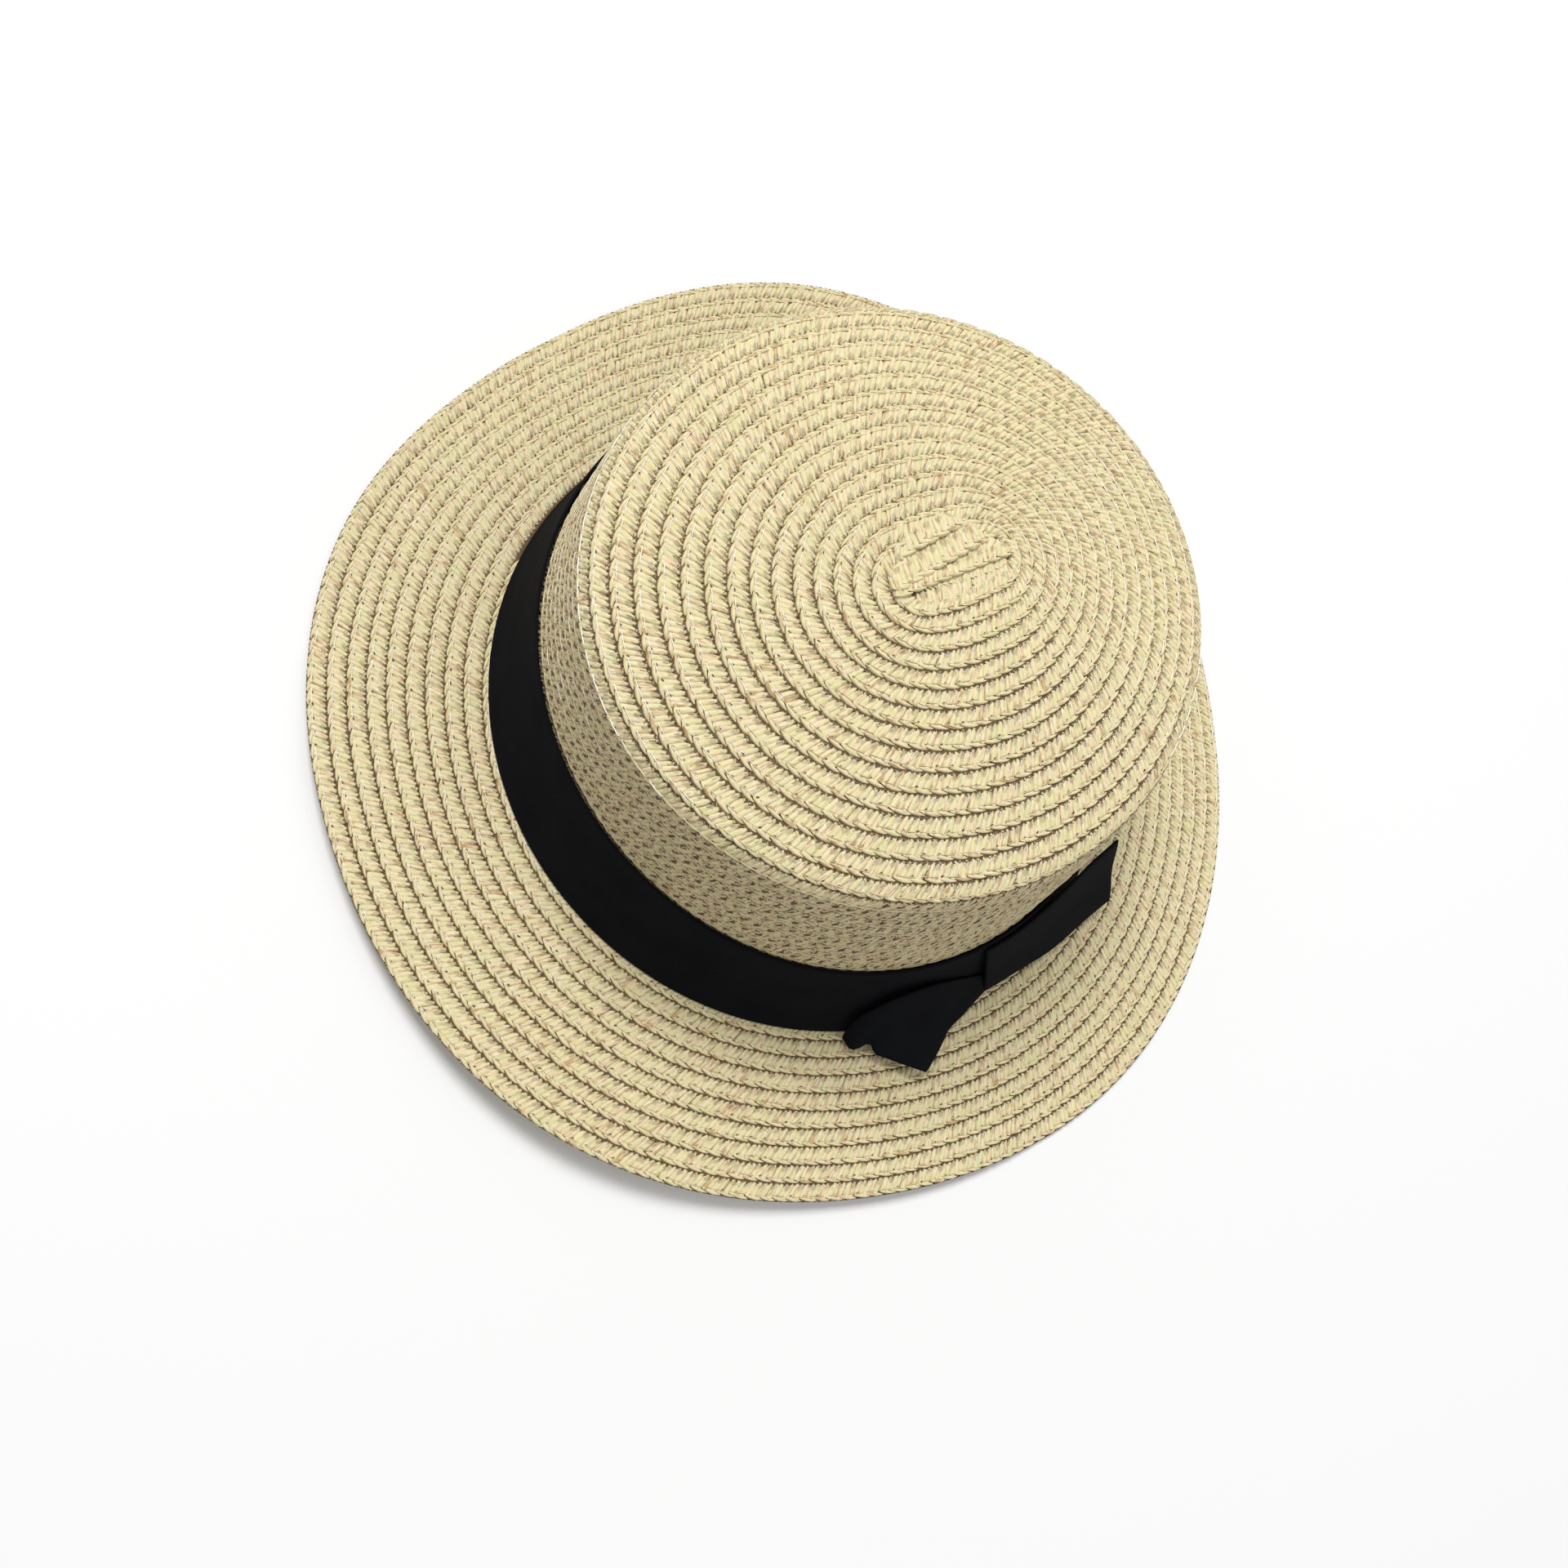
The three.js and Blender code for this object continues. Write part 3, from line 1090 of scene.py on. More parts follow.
class MeshBin:
    """Gathers grids of points and turns them into one mesh."""

    def __init__(self) -> None:
        """Start with nothing in it."""
        self.points: List[np.ndarray] = []
        self.faces: List[np.ndarray] = []
        self.strand: List[np.ndarray] = []
        self.fibre: List[np.ndarray] = []
        self.row: List[np.ndarray] = []
        self.count = 0

    def grids(
        self,
        points: np.ndarray,
        strand: np.ndarray,
        fibre: np.ndarray,
        row: Optional[np.ndarray] = None,
        ring: bool = False,
        loop: bool = False,
    ) -> None:
        """Add many grids of the same size.

        Args:
            points: Array of grids, rows, columns and coordinates.
            strand: One random number for each grid.
            fibre: Place along and across each strand, shaped as the points.
            row: Place along and across the row of braid and how open it is, shaped as the points.
            ring: Whether the last column joins the first.
            loop: Whether the last row joins the first.
        """
        grids, rows, columns = points.shape[:3]
        index = np.arange(grids * rows * columns).reshape(grids, rows, columns) + self.count
        if ring:
            index = np.concatenate([index, index[:, :, :1]], axis=2)
        if loop:
            index = np.concatenate([index, index[:, :1]], axis=1)
        quads = np.stack(
            [index[:, :-1, :-1], index[:, :-1, 1:], index[:, 1:, 1:], index[:, 1:, :-1]], axis=-1
        )
        self.points.append(points.reshape(-1, 3))
        self.faces.append(quads.reshape(-1, 4))
        self.strand.append(np.repeat(strand, rows * columns))
        self.fibre.append(fibre.reshape(-1, 3))
        self.row.append(np.zeros((points.size // 3, 3)) if row is None else row.reshape(-1, 3))
        self.count += grids * rows * columns

    @staticmethod
    def merged(mesh: bpy.types.Mesh) -> None:
        """Join the points of a mesh that lie together.

        Args:
            mesh: The mesh.
        """
        work = bmesh.new()
        work.from_mesh(mesh)
        bmesh.ops.remove_doubles(work, verts=work.verts, dist=0.000001)
        bmesh.ops.recalc_face_normals(work, faces=work.faces)
        work.to_mesh(mesh)
        work.free()

    def make(
        self, name: str, material: bpy.types.Material, shift: np.ndarray, merge: bool = False
    ) -> bpy.types.Object:
        """Turn what was gathered into an object in the row frame.

        Args:
            name: The object's name.
            material: Its material.
            shift: Place of the crown's own frame in the row frame, in millimetres.
            merge: Whether points that lie together are joined.

        Returns:
            The new object.
        """
        points = (np.concatenate(self.points) + shift) * MM
        faces = np.concatenate(self.faces)
        mesh = bpy.data.meshes.new(name)
        mesh.vertices.add(len(points))
        mesh.vertices.foreach_set("co", points.astype(np.float32).ravel())
        mesh.loops.add(faces.size)
        mesh.loops.foreach_set("vertex_index", faces.astype(np.int32).ravel())
        mesh.polygons.add(len(faces))
        mesh.polygons.foreach_set("loop_start", np.arange(0, faces.size, 4, dtype=np.int32))
        mesh.polygons.foreach_set("use_smooth", np.ones(len(faces), dtype=bool))
        strand = mesh.attributes.new("strand", "FLOAT", "POINT")
        strand.data.foreach_set("value", np.concatenate(self.strand).astype(np.float32))
        for label, values in (("fibre", self.fibre), ("row", self.row)):
            vectors = mesh.attributes.new(label, "FLOAT_VECTOR", "POINT")
            vectors.data.foreach_set("vector", np.concatenate(values).astype(np.float32).ravel())
        mesh.materials.append(material)
        mesh.update(calc_edges=True)
        mesh.validate()
        if merge:
            self.merged(mesh)
        made = bpy.data.objects.new(name, mesh)
        bpy.context.scene.collection.objects.link(made)
        return made


@dataclass
class Braid:
    """Strands of one braid: ribs across each row, a twisted cord along its outer edge, and stitches.

    Every table of a strand has the columns share of the length, place along, place across, half width,
    depth of the edges under the face and depth of the crest under the face.
    """

    rows: Rows
    face: Face = Face.OUTSIDE
    rib_spacing: float = 1.544
    plait_spacing: float = 3.86
    plait_fibre: float = 20.0
    run_spacing: float = 5.7
    loop_spacing: float = 3.42
    flatness: float = 0.62
    # how open the braid is, which sets how much painted shade its gaps and its whole face get
    openness: float = 0.35
    # how much strands differ in lean, half width, height and place along the row
    loose: Tuple[float, float, float, float] = (0.34, 0.15, 0.15, 0.18)
    plait_loose: Tuple[float, float, float, float] = (0.4, 0.8, 0.4, 1.4)
    lean_reach: float = 2.5
    tint_seeds: Tuple[float, float] = (12.9898, 43758.5453)
    noise_stride: float = 97.0
    # direction along which stitches get a painted glint
    glint: Tuple[float, float, float] = (-0.9, 0.35, 0.28)
    seed: int = 1
    # along, across, half width, edge depth, crest depth
    rib: Tuple[Tuple[float, ...], ...] = (
        (1.5, -3.05, 0.52, 1.45, 1.15),
        (1.25, -2.5, 0.6, 1.2, 0.58),
        (0.4, -1.2, 0.92, 0.98, 0.34),
        (-1.05, 1.6, 0.96, 0.8, 0.16),
    )
    plait: Tuple[Tuple[float, ...], ...] = (
        (-2.3, 1.32, 0.12, 0.8, 0.3),
        (-1.1, 1.56, 0.48, 0.95, 0.12),
        (0.1, 1.8, 0.6, 1.15, 0.04),
        (1.3, 2.0, 0.5, 1.15, 0.12),
        (2.4, 2.12, 0.14, 1.1, 0.5),
    )
    # along, across, depth of the thread's middle
    thread_run: Tuple[Tuple[float, ...], ...] = (
        (-2.4, 0.8, 0.6),
        (-2.1, 0.9, 0.14),
        (0.1, 1.02, 0.06),
        (2.0, 1.05, 0.12),
        (2.3, 1.0, 0.6),
    )
    thread_loop: Tuple[Tuple[float, ...], ...] = (
        (0.3, -0.6, 0.55),
        (0.45, -0.85, 0.14),
        (0.95, -1.65, 0.22),
        (1.15, -2.0, 0.7),
    )
    thread_radius: float = 0.14
    thread_slide: float = 0.35
    thread_drift: float = 0.12
    thread_shine: Tuple[float, float] = (0.6, 1.15)

    def strands(
        self,
        table: Sequence[Sequence[float]],
        places: np.ndarray,
        jitter: np.ndarray,
        steps: int,
        fibre_start: float = 0.0,
    ) -> Tuple[np.ndarray, np.ndarray, np.ndarray, np.ndarray]:
        """Lay one strand at each place.

        Args:
            table: The strand's stations.
            places: Lengths along the rows.
            jitter: Four random numbers from -1 to 1 for each place: lean, width, height and slide.
            steps: Strips round the strand's back.
            fibre_start: Place along the fibre where each strand starts.

        Returns:
            Points, a random number for each strand, places on the fibre and places on the row.
        """
        rows = np.array(table)
        turn = np.linspace(math.pi, 0.0, steps + 1)
        heading = unit(np.gradient(rows[:, :2], axis=0))
        sideways = np.stack([heading[:, 1], -heading[:, 0]], axis=1)
        leaning, widening, rising, sliding = self.loose
        lean = jitter[:, 0, None] * leaning * (rows[:, 1] - rows[:, 1].mean()) / self.lean_reach
        width = rows[:, 2] * (1 + widening * jitter[:, 1, None])
        crest = rows[:, 4] + rising * jitter[:, 2, None]
        cosine, sine = np.cos(turn), np.sin(turn)
        along = places[:, None] + sliding * jitter[:, 3, None] + rows[:, 0] + lean
        shape = (len(places), len(rows), steps + 1)
        x = along[..., None] + sideways[:, 0, None] * width[..., None] * cosine
        y = np.broadcast_to(rows[:, 1, None] + sideways[:, 1, None] * cosine * width[..., None], shape)
        high = rows[:, 3] - crest
        z = -np.broadcast_to(rows[:, 3], high.shape)[..., None] + high[..., None] * sine ** self.flatness
        points = self.laid(x, y, np.broadcast_to(z, shape))
        tint = (np.sin(places * self.tint_seeds[0] + self.seed) * self.tint_seeds[1]) % 1.0
        run = np.cumsum(np.concatenate([[0.0], np.linalg.norm(np.diff(rows[:, :2], axis=0), axis=1)]))
        fibre = np.zeros((*shape, 3))
        fibre[..., 0] = fibre_start + run[:, None]
        fibre[..., 1] = cosine * rows[:, 2, None]
        fibre[..., 2] = tint[:, None, None] * self.noise_stride
        return points, tint, fibre, np.stack([x, y, np.full(shape, self.openness)], axis=-1)

    def laid(self, along: np.ndarray, out: np.ndarray, lift: np.ndarray) -> np.ndarray:
        """Points in the crown's frame of places beside the path and over the straw's face.

        Args:
            along: Lengths along the path.
            out: Distances outwards from it.
            lift: Heights over the face that the braid is seen from.

        Returns:
            Points, shaped as the places.
        """
        if self.face is Face.INSIDE:
            point, normal = self.rows.spot(along.ravel(), -out.ravel())
            point = point - normal * (STRAW + lift.ravel())[:, None]
        else:
            point, normal = self.rows.spot(along.ravel(), out.ravel())
            point = point + normal * lift.ravel()[:, None]
        return point.reshape(*along.shape, 3)

    def ribs(self, store: MeshBin, first: float, last: float, steps: int = 4) -> None:
        """Add the ribs that run across the rows.

        Args:
            store: Where the strands are gathered.
            first: Length along the path at the start.
            last: Length along the path at the end.
            steps: Strips round a rib's back.
        """
        rng = np.random.default_rng(self.seed)
        places = np.arange(first, last, self.rib_spacing)
        jitter = rng.uniform(-1, 1, (len(places), 4))
        store.grids(*self.strands(self.rib, places, jitter, steps))

    def plaits(self, store: MeshBin, first: float, last: float, steps: int = 4) -> None:
        """Add the twisted cord along the rows' outer edge.

        Args:
            store: Where the strands are gathered.
            first: Length along the path at the start.
            last: Length along the path at the end.
            steps: Strips round a strand's back.
        """
        rng = np.random.default_rng(self.seed + 1)
        places = np.arange(first, last, self.plait_spacing) + 0.5 * self.rib_spacing
        jitter = rng.uniform(-1, 1, (len(places), 4)) * self.plait_loose
        store.grids(*self.strands(self.plait, places, jitter, steps, self.plait_fibre))

    def stitches(self, store: MeshBin, first: float, last: float) -> None:
        """Add the clear thread: long runs along the cord's inner side and short loops between the ribs.

        Args:
            store: Where the strands are gathered.
            first: Length along the path at the start.
            last: Length along the path at the end.
        """
        rng = np.random.default_rng(self.seed + 2)
        turn = np.linspace(0.0, TAU, 3, endpoint=False) + math.pi / 2
        kinds = ((self.thread_run, self.run_spacing, 0), (self.thread_loop, self.loop_spacing, 1))
        for stations, spacing, sideways in kinds:
            table = np.array(stations)
            places = np.arange(first, last, spacing)
            places = places + rng.uniform(-self.thread_slide, self.thread_slide, len(places))
            aside = rng.uniform(-self.thread_drift, self.thread_drift, (len(places), 1, 1))
            shape = (len(places), len(table), len(turn))
            round_it = self.thread_radius * np.cos(turn)
            x = places[:, None, None] + table[:, 0, None] + sideways * round_it
            y = table[:, 1, None] + (1 - sideways) * round_it + aside
            z = -table[:, 2, None] + self.thread_radius * np.sin(turn)
            points = self.laid(*(np.broadcast_to(part, shape) for part in (x, y, z)))
            # painted glint: stitches that run along the glint direction get a whiter colour
            heading = unit(points[:, -1, 0] - points[:, 0, 0]) @ np.array(self.glint)
            shine = np.abs(heading) ** 2 * rng.uniform(*self.thread_shine, len(places))
            store.grids(points, shine, np.zeros((*shape, 3)), ring=True)


# Sub-assemblies


@dataclass
class Hat:
    """Common ground of the hat's sub-assemblies.

    `core_depth` says how far the core's lower and upper face lie under the straw's outer face.
    """

    shape: HatShape
    shift: np.ndarray
    straw: bpy.types.Material
    core: bpy.types.Material
    thread: bpy.types.Material
    ribbon: bpy.types.Material
    core_depth: Tuple[float, float] = (1.02, 0.8)

    def finish(self, piece: bpy.types.Object, slot: Slot, *nodes: str) -> bpy.types.Object:
        """Let a piece ride on the hat and report it.

        Args:
            piece: The new object.
            slot: A slot of the record; not used.
            nodes: CAD nodes that it stands for.

        Returns:
            The same object.
        """
        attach(piece, "root")
        if nodes:
            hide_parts(*nodes)
        triangles = sum(len(face.vertices) - 2 for face in piece.data.polygons)
        LOG.info("%s: %d triangles", piece.name, triangles)
        return piece

    def core_piece(self, name: str, points: np.ndarray) -> bpy.types.Object:
        """Closed ring of the dark core, from its sections round the hat.

        Args:
            name: The piece's name.
            points: Rings of points, from the upper face's first to the lower face's last.

        Returns:
            The core's object.
        """
        store = MeshBin()
        flat = np.zeros((1, *points.shape[:2], 3))
        store.grids(points[None], np.zeros(1), flat, ring=True, loop=True)
        return store.make(name, self.core, self.shift)


@dataclass
class Crown(Hat):
    """Crown: braid outside and inside, with a dark core between them, painted as the shade seen between the
    strands.
    """

    core_segments: int = 160
    # length of the path that is left to the straight strips, against the start's half length
    start_share: float = 3.85
    # share of the shoulder that the tip's braid covers
    shoulder_share: float = 0.8
    end_margin: float = 3.0
    inner_last_height: float = 0.4
    wall_openness: float = 0.95
    # direction of the fainter painted glint on the wall's stitches
    wall_glint: Tuple[float, float, float] = (-0.62, 0.24, 0.19)
    # rings of the core on the tip, the shoulder and the wall
    core_rings: Tuple[int, int, int] = (14, 6, 16)
    # last station of a strip's ribs that dive under the next strip
    diving_end: Tuple[float, ...] = (-1.05, 1.6, 0.96, 1.3, 1.0)
    strip_margins: Tuple[float, float] = (0.6, 0.4)
    # start, end, lift, lengths of the tucked ends, spread, whether it has ribs, whether it has a cord
    strips: Tuple[Tuple[Any, ...], ...] = (
        ((6.6, -6.0), (4.6, 25.0), 0.5, (2.0, 3.0), 1.45, True, False),
        ((1.1, -9.6), (0.1, 27.0), 1.0, (0.0, 3.0), 0.82, True, True),
        ((-1.6, -9.8), (-7.0, 23.0), 1.1, (0.0, 7.0), 1.37, True, True),
        ((-8.9, -4.5), (-12.2, 18.0), 1.2, (5.0, 7.0), 1.2, True, True),
        ((-6.4, -7.7), (3.4, -7.7), 1.0, (1.5, 1.5), 1.0, False, True),
    )
    strip_seed: int = 31
    # smallest ring of the core, and margins kept from the ends of the side where it is measured
    hub_share: float = 0.02
    side_margins: Tuple[float, float] = (0.06, 0.1)

    def build(self) -> None:
        """Build every piece of the crown."""
        outer = CrownRows(self.shape)
        turned = outer.reach + self.shoulder_share * self.shape.shoulder_length
        edge = float(np.interp(turned / outer.pitch * TAU, outer.total, outer.path))
        end = outer.path[-1] - self.end_margin
        first = self.start_share * outer.start_half
        braid = Braid(outer, seed=11)
        wall = Braid(outer, openness=self.wall_openness, glint=self.wall_glint, seed=12)
        store = MeshBin()
        braid.ribs(store, 0.0, edge)
        braid.plaits(store, first, edge)
        self.start_strips(store)
        self.finish(store.make("crown_tip_braid", self.straw, self.shift), Slot.STRAW)
        store = MeshBin()
        wall.ribs(store, edge, end)
        wall.plaits(store, edge, end)
        self.finish(store.make("crown_wall_braid", self.straw, self.shift), Slot.STRAW)
        store = MeshBin()
        braid.stitches(store, first, edge)
        wall.stitches(store, edge, end)
        self.finish(store.make("crown_stitches", self.thread, self.shift), Slot.STRAW)
        inner = CrownRows(self.shape, last_height=self.inner_last_height)
        store = MeshBin()
        inside = Braid(inner, face=Face.INSIDE, seed=21)
        inside.ribs(store, 1, inner.path[-1] - self.end_margin, steps=2)
        inside.plaits(store, 1, inner.path[-1] - self.end_margin, steps=2)
        self.finish(store.make("crown_inner_braid", self.straw, self.shift), Slot.STRAW)
        self.finish(self.shell(), Slot.STRAW, "crown")

    def start_strips(self, store: MeshBin) -> None:
        """Add the strips that the braid starts with: four side by side and the cord across their ends.

        Args:
            store: Where the strands are gathered.
        """
        rib_margin, cord_margin = self.strip_margins
        for number, row in enumerate(self.strips):
            strip = StraightRow(self.shape, *row)
            braid = Braid(strip, seed=self.strip_seed + number)
            if not strip.corded:
                braid.rib = (*braid.rib[:-1], self.diving_end)
            if strip.ribbed:
                braid.ribs(store, rib_margin, strip.path[-1])
            if strip.corded:
                braid.plaits(store, cord_margin, strip.path[-1])

    def shell(self) -> bpy.types.Object:
        """Closed core of the crown.

        Returns:
            The core's object.
        """
        angle = np.linspace(0, TAU, self.core_segments, endpoint=False)
        half = np.array(self.shape.tip_half)
        on_tip, on_shoulder, on_wall = self.core_rings
        rings = []
        for share in np.linspace(self.hub_share, 1, on_tip):
            plan = np.stack([half[0] * share * np.cos(angle), half[1] * share * np.sin(angle)], axis=-1)
            rings.append(self.shape.tip(plan))
        length = self.shape.shoulder_length
        foot = length + self.shape.wall_height
        downs = [*np.linspace(0, length, on_shoulder)[1:], *np.linspace(length, foot, on_wall)[1:]]
        least, short = self.side_margins
        for down in downs:
            depth = np.full_like(angle, down)
            place = self.shape.side(angle, depth)
            rings.append((place, facing(self.shape.side, angle, np.clip(depth, least, foot - short))))
        low, high = self.core_depth
        top = [place - normal * high for place, normal in rings]
        under = [place - normal * low for place, normal in reversed(rings)]
        return self.core_piece("crown_core", np.stack([*top, *under]))


@dataclass
class Brim(Hat):
    """Brim: braid on both faces, with a dark core between them, painted as the shade seen between the
    strands.
    """

    core_segments: int = 200
    core_rings: int = 14
    # share of the width that the core reaches, under the rim's own braid
    core_reach: float = 0.985
    start_turn: float = 0.35
    end_margin: float = 2.0

    def build(self) -> None:
        """Build every piece of the brim."""
        rows = BrimRows(self.shape)
        end = rows.path[-1] - self.end_margin
        first = float(np.interp(self.start_turn * TAU, rows.total, rows.path))
        braid = Braid(rows, seed=41)
        under = Braid(rows, face=Face.INSIDE, seed=51)
        for name, made, steps, start in (("brim_top", braid, 4, first), ("brim_under", under, 3, 1.0)):
            store = MeshBin()
            made.ribs(store, start, end, steps=steps)
            self.finish(store.make(f"{name}_ribs", self.straw, self.shift), Slot.STRAW)
            store = MeshBin()
            made.plaits(store, start, end, steps=steps)
            self.finish(store.make(f"{name}_edges", self.straw, self.shift), Slot.STRAW)
        store = MeshBin()
        braid.stitches(store, first, end)
        self.finish(store.make("brim_stitches", self.thread, self.shift), Slot.STRAW)
        self.finish(self.shell(), Slot.STRAW, "brim")

    def shell(self) -> bpy.types.Object:
        """Closed core of the brim.

        Returns:
            The core's object.
        """
        angle = np.linspace(0, TAU, self.core_segments, endpoint=False)
        low, high = self.core_depth
        top, under = [], []
        for share in np.linspace(0, self.core_reach, self.core_rings):
            place = self.shape.brim(angle, np.full_like(angle, share))
            top.append(place - [0, 0, high])
            under.append(place - [0, 0, low])
        return self.core_piece("brim_core", np.stack([*top, *under[::-1]]))


@dataclass
class Band(Hat):
    """Ribbon band round the foot of the wall."""

    thickness: float = 0.7
    stand_off: float = 0.45
    segments: int = 300
    # height of its lower edge over the wall's foot, and how much of the ribbon's width is turned in
    foot: float = 0.15
    trim: float = 0.1
    # its mean half width against that of the crown's foot
    girth: float = 0.955
    # how far it stands off more, the heights of its slack waves, and its crease's depth
    ease: float = 0.2
    slack: Tuple[float, float] = (0.12, 0.1)
    crease_depth: float = 0.3
    # the crease's share of the width, its half width, and the angles where it comes and goes
    crease_share: float = 0.16
    crease_half: float = 0.07
    crease_angles: Tuple[Tuple[float, float], ...] = ((175, 200), (262, 285))
    # shares of the width, closest together at the edges
    shares: Tuple[float, ...] = (
        0.0, 0.012, 0.04, 0.12, 0.2, 0.3, 0.42, 0.55, 0.68, 0.8, 0.9, 0.965, 0.99, 1.0,
    )

    def build(self) -> None:
        """Build the band."""
        angle = np.linspace(0, TAU, self.segments, endpoint=False)
        width = self.shape.ribbon_width
        outer, inner = [], []
        for share in self.shares:
            height = np.full_like(angle, self.foot + (width - self.trim) * share)
            swell = self.folds(angle, share)
            outer.append(self.shape.wall(angle, height, self.stand_off + self.thickness + swell))
            inner.append(self.shape.wall(angle, height, self.stand_off))
        points = np.stack([*outer[::-1], *inner])
        store = MeshBin()
        fibre = np.zeros((1, *points.shape[:2], 3))
        fibre[0, ..., 0] = angle * self.shape.half_width
        fibre[0, ..., 1] = width * np.array([*self.shares[::-1], *self.shares])[:, None]
        store.grids(points[None], np.zeros(1), fibre, ring=True, loop=True)
        piece = self.finish(store.make("hat_band_ribbon", self.ribbon, self.shift), Slot.RIBBON, "hat_band")

    def folds(self, angle: np.ndarray, share: float) -> np.ndarray:
        """How far the ribbon stands off more than it has to.

        Args:
            angle: Angles round the crown.
            share: Share of the ribbon's width.

        Returns:
            Distances outwards: slack between the edges, less a shallow crease low on the back.
        """
        degrees = np.degrees(angle)
        wide, narrow = self.slack
        slack = wide * np.sin(3 * angle + 1.0) + narrow * np.sin(7 * angle + 0.4 + 2 * share)
        coming, going = self.crease_angles
        reach = smooth(*coming, degrees) * (1 - smooth(*going, degrees))
        crease = np.exp(-((share - self.crease_share) / self.crease_half) ** 2) * reach
        hem = self.shares[1]
        return self.ease + slack * math.sin(math.pi * share) - self.crease_depth * crease * (share > hem)


@dataclass
class Bow(Hat):
    """The ribbon's two ends.

    Each row of a tail holds its share of the tail's length, then for the lower and the upper edge the
    angle round the crown, the height and the stand-off as shares of the ribbon's width.
    """

    thickness: float = 0.7
    # distance of the tails' middle from the wall, over the band
    seat: float = 2.1
    # points along and across a tail
    grid: Tuple[int, int] = (49, 21)
    ripple: float = 0.35
    fibre_length: float = 55.0
    # lobe at the front tail's upper corner: share of the length where it starts, then place across, half
    # width and pull of its notch and its bulge, and where its edge starts to sink and how far
    lobe_start: float = 0.55
    notch: Tuple[float, float, float] = (0.72, 0.07, 2.3)
    bulge: Tuple[float, float, float] = (0.9, 0.08, 1.0)
    edge_sink: Tuple[float, float] = (0.86, 2.4)
    front: Tuple[Tuple[float, ...], ...] = (
        (0, 4.9, 0.1, 0.05, 4.85, 0.32, 0),
        (0.2, 2, 0.115, 0.1, -3, 0.56, 0.01),
        (0.4, -1.2, 0.13, 0.17, -8.8, 0.69, 0.03),
        (0.6, -4.3, 0.14, 0.24, -14.5, 0.67, 0.06),
        (0.75, -6, 0.147, 0.33, -18, 0.56, 0.1),
        (0.88, -8, 0.155, 0.45, -21.4, 0.36, 0.13),
        (1, -10.4, 0.16, 0.59, -22.7, 0.09, 0.14),
    )
    back: Tuple[Tuple[float, ...], ...] = (
        (0, 4.9, 0.1, 0.05, 1.2, 0.985, 0),
        (0.25, 12.7, 0.1, 0.087, 9, 0.98, 0),
        (0.5, 19.5, 0.1, 0.17, 17.5, 0.98, 0.005),
        (0.8, 27.8, 0.12, 0.28, 28.4, 1.0, 0.077),
        (1, 33.7, 0.14, 0.42, 36, 1.02, 0.22),
    )

    def build(self) -> None:
        """Build both tails."""
        self.tail("bow_front_tail_ribbon", "bow_front_tail", self.front, -1)
        self.tail("bow_back_tail_ribbon", "bow_back_tail", self.back, 1)

    def tail(self, name: str, node: str, rows: Sequence[Sequence[float]], side: int) -> None:
        """Build a tail.

        Args:
            name: The piece's name.
            node: The CAD node that it stands for.
            rows: The tail's table.
            side: 1 for a tail that runs to the back, -1 for one that runs to the front.
        """
        lengthwise, crosswise = (np.linspace(0, 1, count) for count in self.grid)
        row = SmoothTable(rows).at(lengthwise)[:, None, :]
        width = self.shape.ribbon_width
        low, high = (
            self.shape.wall(np.radians(edge[0]), width * edge[1], self.seat + width * edge[2])
            for edge in (np.moveaxis(row[..., :3], -1, 0), np.moveaxis(row[..., 3:], -1, 0))
        )
        middle = low + (high - low) * crosswise[:, None]
        along = np.gradient(middle, axis=0)
        across = np.gradient(middle, axis=1)
        normal = unit(np.cross(along, across)) * side
        ripple = self.ripple * np.sin(2.2 * math.pi * crosswise + 1.2) * lengthwise[:, None]
        middle = middle + normal * ripple[..., None]
        if side < 0:
            middle = middle + self.lobe(lengthwise, crosswise, along, normal)
        front = middle + normal * self.thickness / 2
        rear = middle - normal * self.thickness / 2
        points = np.concatenate([front, rear[:, ::-1]], axis=1)
        if side < 0:
            points = points[:, ::-1]
        closed = [(edge + edge[:, ::-1]) / 2 for edge in (points[:1], points[-1:])]
        points = np.concatenate([closed[0], points, closed[1]])
        store = MeshBin()
        fibre = np.zeros((1, *points.shape[:2], 3))
        fibre[0, ..., 0] = np.linspace(0, self.fibre_length, points.shape[0])[:, None]
        fibre[0, ..., 1] = np.concatenate([crosswise, crosswise[::-1]]) * width
        store.grids(points[None], np.zeros(1), fibre, ring=True)
        piece = self.finish(store.make(name, self.ribbon, self.shift, merge=True), Slot.RIBBON, node)

    def lobe(
        self, lengthwise: np.ndarray, crosswise: np.ndarray, along: np.ndarray, normal: np.ndarray
    ) -> np.ndarray:
        """How far the front tail's upper corner curls into a rounded lobe.

        Args:
            lengthwise: Shares of the tail's length.
            crosswise: Shares of its width.
            along: Steps along it.
            normal: Its unit normals.

        Returns:
            Moves of its points.
        """
        near_end = smooth(self.lobe_start, 1.0, lengthwise)[:, None, None]
        notch, bulge = (
            np.exp(-((crosswise - place) / half) ** 2) for place, half, _ in (self.notch, self.bulge)
        )
        pull = (self.bulge[2] * bulge - self.notch[2] * notch)[:, None]
        sink_start, depth = self.edge_sink
        sink = (-notch - depth * smooth(sink_start, 1.0, crosswise))[:, None]
        return near_end * (unit(along) * pull + normal * sink)


# Studio


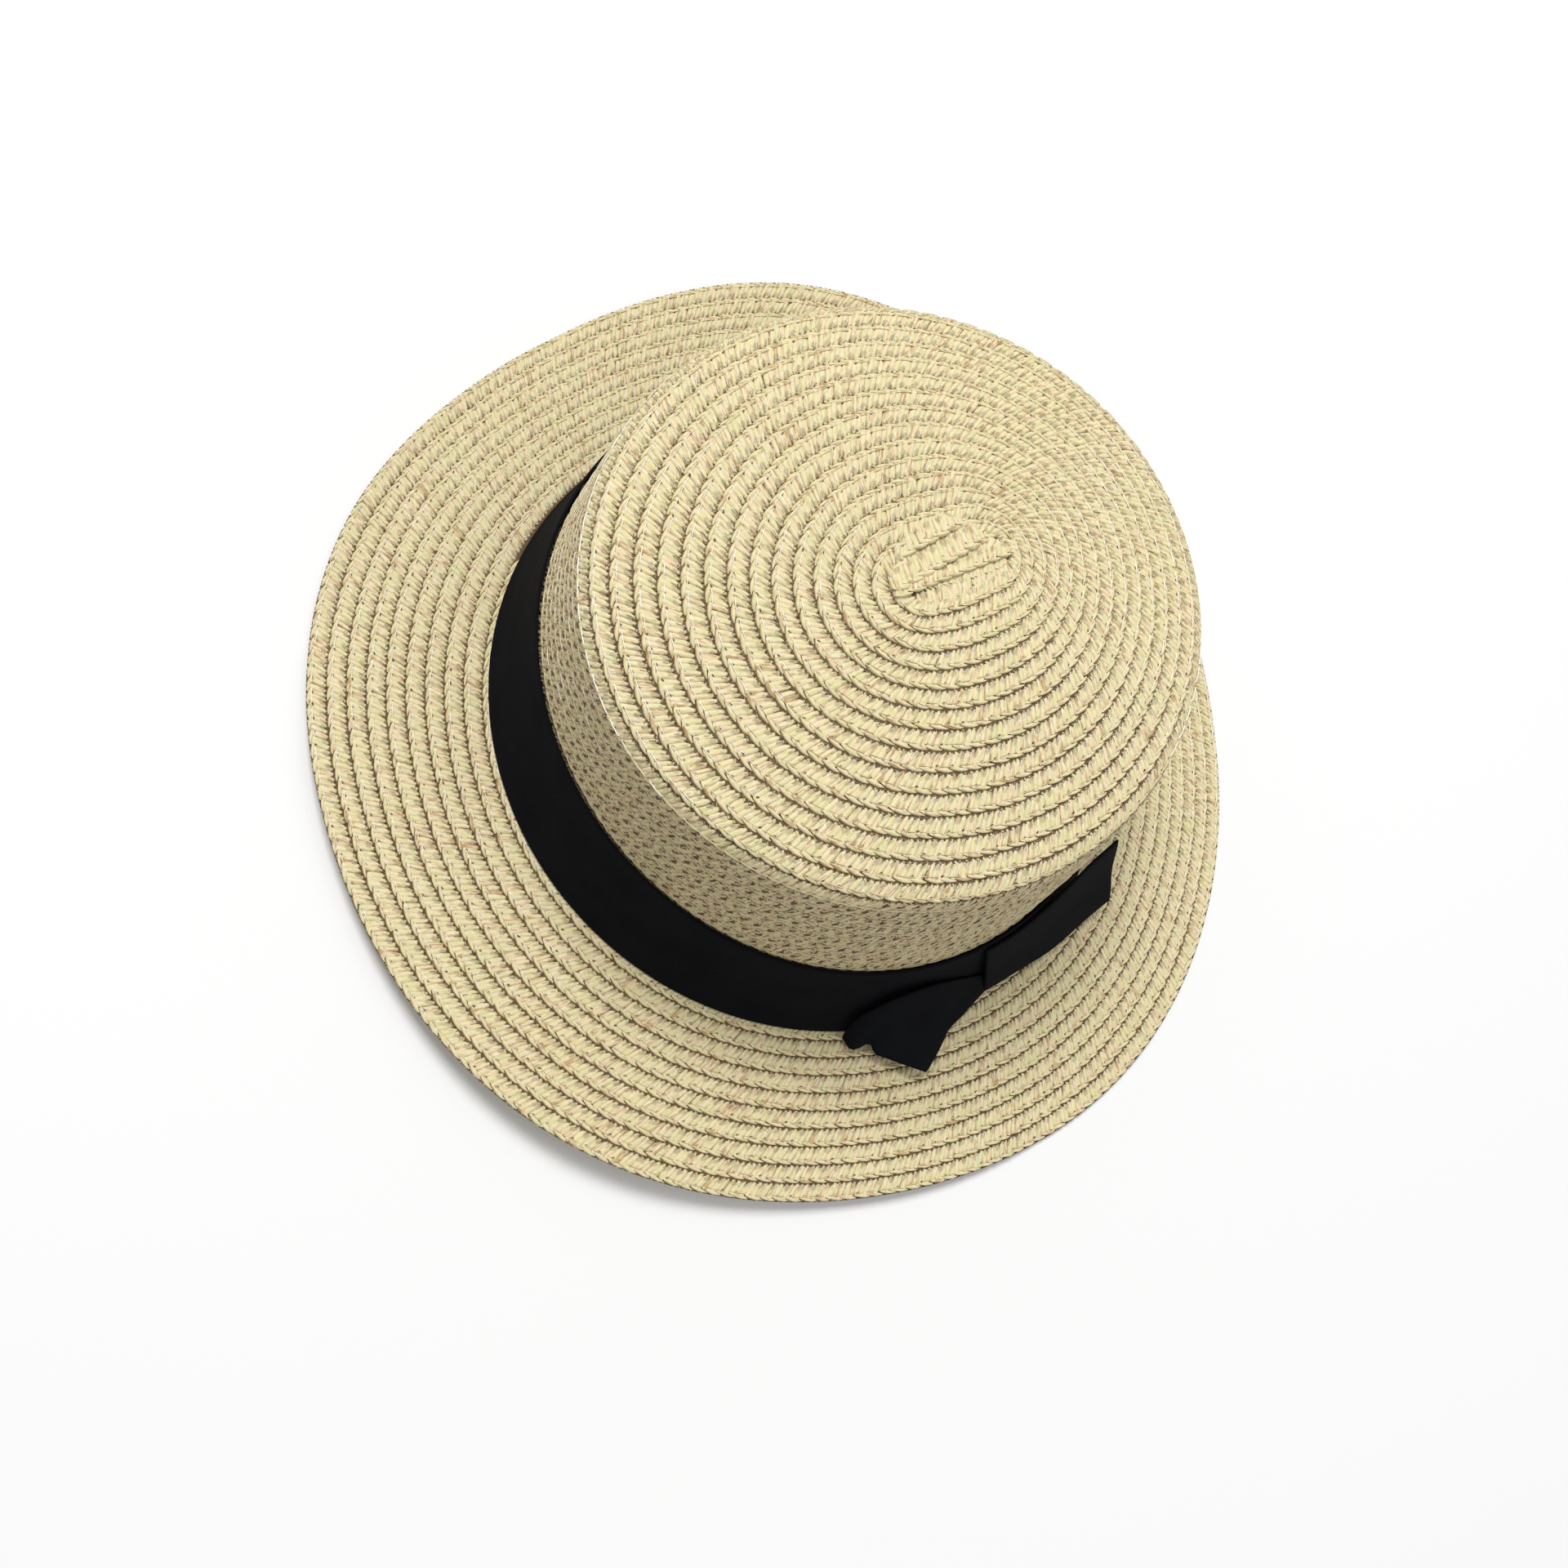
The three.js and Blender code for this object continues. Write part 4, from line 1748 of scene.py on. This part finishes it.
@dataclass
class Studio:
    """Floor, lights and camera."""

    shift: np.ndarray
    floor_half: float = 3.0
    # how far the floor lies under the brim's lowest point, in metres
    floor_gap: float = 0.0002
    # name, place, size, power
    lamps: Tuple[Tuple[Any, ...], ...] = (
        ("key", (-0.72, 0.05, 1.58), 0.7, 24.0),
        ("fill", (1.0, 0.4, 1.0), 1.2, 4.0),
    )
    lit_height: float = 0.04
    sky: float = 0.46
    azimuth: float = math.radians(19.3)
    elevation: float = math.radians(66.0)
    roll: float = math.radians(46.97)
    distance: float = 410.0
    aside: float = 10.61
    above: float = -22.29
    pivot_height: float = 8.0
    focal_pixels: float = 1691.3
    frame_pixels: float = 1920.0
    sensor: float = 36.0
    nearest: float = 0.01

    def build(self) -> None:
        """Build the floor, the lights and the camera."""
        self.floor()
        self.lights()
        self.camera()

    def floor(self) -> None:
        """Lay a wide plain floor."""
        side = self.floor_half
        corners = [(-side, -side, 0), (side, -side, 0), (side, side, 0), (-side, side, 0)]
        mesh = bpy.data.meshes.new("floor")
        mesh.from_pydata(corners, [], [(0, 1, 2, 3)])
        mesh.materials.append(FloorFinish().material())
        floor = bpy.data.objects.new("floor", mesh)
        floor.location.z = -self.floor_gap
        bpy.context.scene.collection.objects.link(floor)

    def lights(self) -> None:
        """Light the hat softly, mostly from above and behind it."""
        for name, place, size, power in self.lamps:
            self.lamp(name, place, size, power)
        world = bpy.data.worlds.new("studio")
        world.use_nodes = True
        background = world.node_tree.nodes["Background"]
        background.inputs["Color"].default_value = (1.0, 1.0, 1.0, 1.0)
        background.inputs["Strength"].default_value = self.sky
        bpy.context.scene.world = world
        bpy.context.scene.view_settings.view_transform = "Standard"

    def lamp(self, name: str, place: Tuple[float, float, float], size: float, power: float) -> None:
        """Add a square area light that points at the hat.

        Args:
            name: The light's name.
            place: Where it hangs, in metres.
            size: Its side, in metres.
            power: Its power in watts.
        """
        light = bpy.data.lights.new(name, "AREA")
        light.size = size
        light.energy = power
        lamp = bpy.data.objects.new(name, light)
        lamp.location = place
        aim = Vector(place) - Vector((0, 0, self.lit_height))
        lamp.rotation_euler = aim.to_track_quat("Z", "Y").to_euler()
        bpy.context.scene.collection.objects.link(lamp)

    def camera(self) -> None:
        """Place the camera at the photograph's angle."""
        sin, cos = math.sin, math.cos
        level = np.array([cos(self.azimuth), sin(self.azimuth), 0.0])
        away = np.array([sin(self.azimuth), -cos(self.azimuth), 0.0])
        back = away * cos(self.elevation) + [0.0, 0.0, sin(self.elevation)]
        upright = np.cross(back, level)
        right = level * cos(self.roll) + upright * sin(self.roll)
        up = upright * cos(self.roll) - level * sin(self.roll)
        eye = back * self.distance + level * self.aside + upright * self.above
        eye = (eye + self.shift + [0, 0, self.pivot_height]) * MM
        data = bpy.data.cameras.new("camera")
        data.sensor_fit = "HORIZONTAL"
        data.sensor_width = self.sensor
        data.lens = self.sensor * self.focal_pixels / self.frame_pixels
        data.clip_start = self.nearest
        camera = bpy.data.objects.new("camera", data)
        turned = Matrix((right, up, back)).transposed().to_4x4()
        camera.matrix_world = Matrix.Translation(Vector(eye)) @ turned
        bpy.context.scene.collection.objects.link(camera)
        bpy.context.scene.camera = camera


def main() -> None:
    """Build the hat and the studio."""
    logging.basicConfig(level=logging.INFO, format="%(name)s %(message)s")
    low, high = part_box("crown")
    shift = np.array([(low.x + high.x) / 2, (low.y + high.y) / 2, 0.0]) / MM
    finishes = (StrawFinish(), CoreFinish(), ThreadFinish(), RibbonFinish())
    materials = [finish.material() for finish in finishes]
    shape = HatShape()
    for kind in (Crown, Brim, Band, Bow):
        kind(shape, shift, *materials).build()
    Studio(shift).build()


if __name__ == "__main__":
    main()
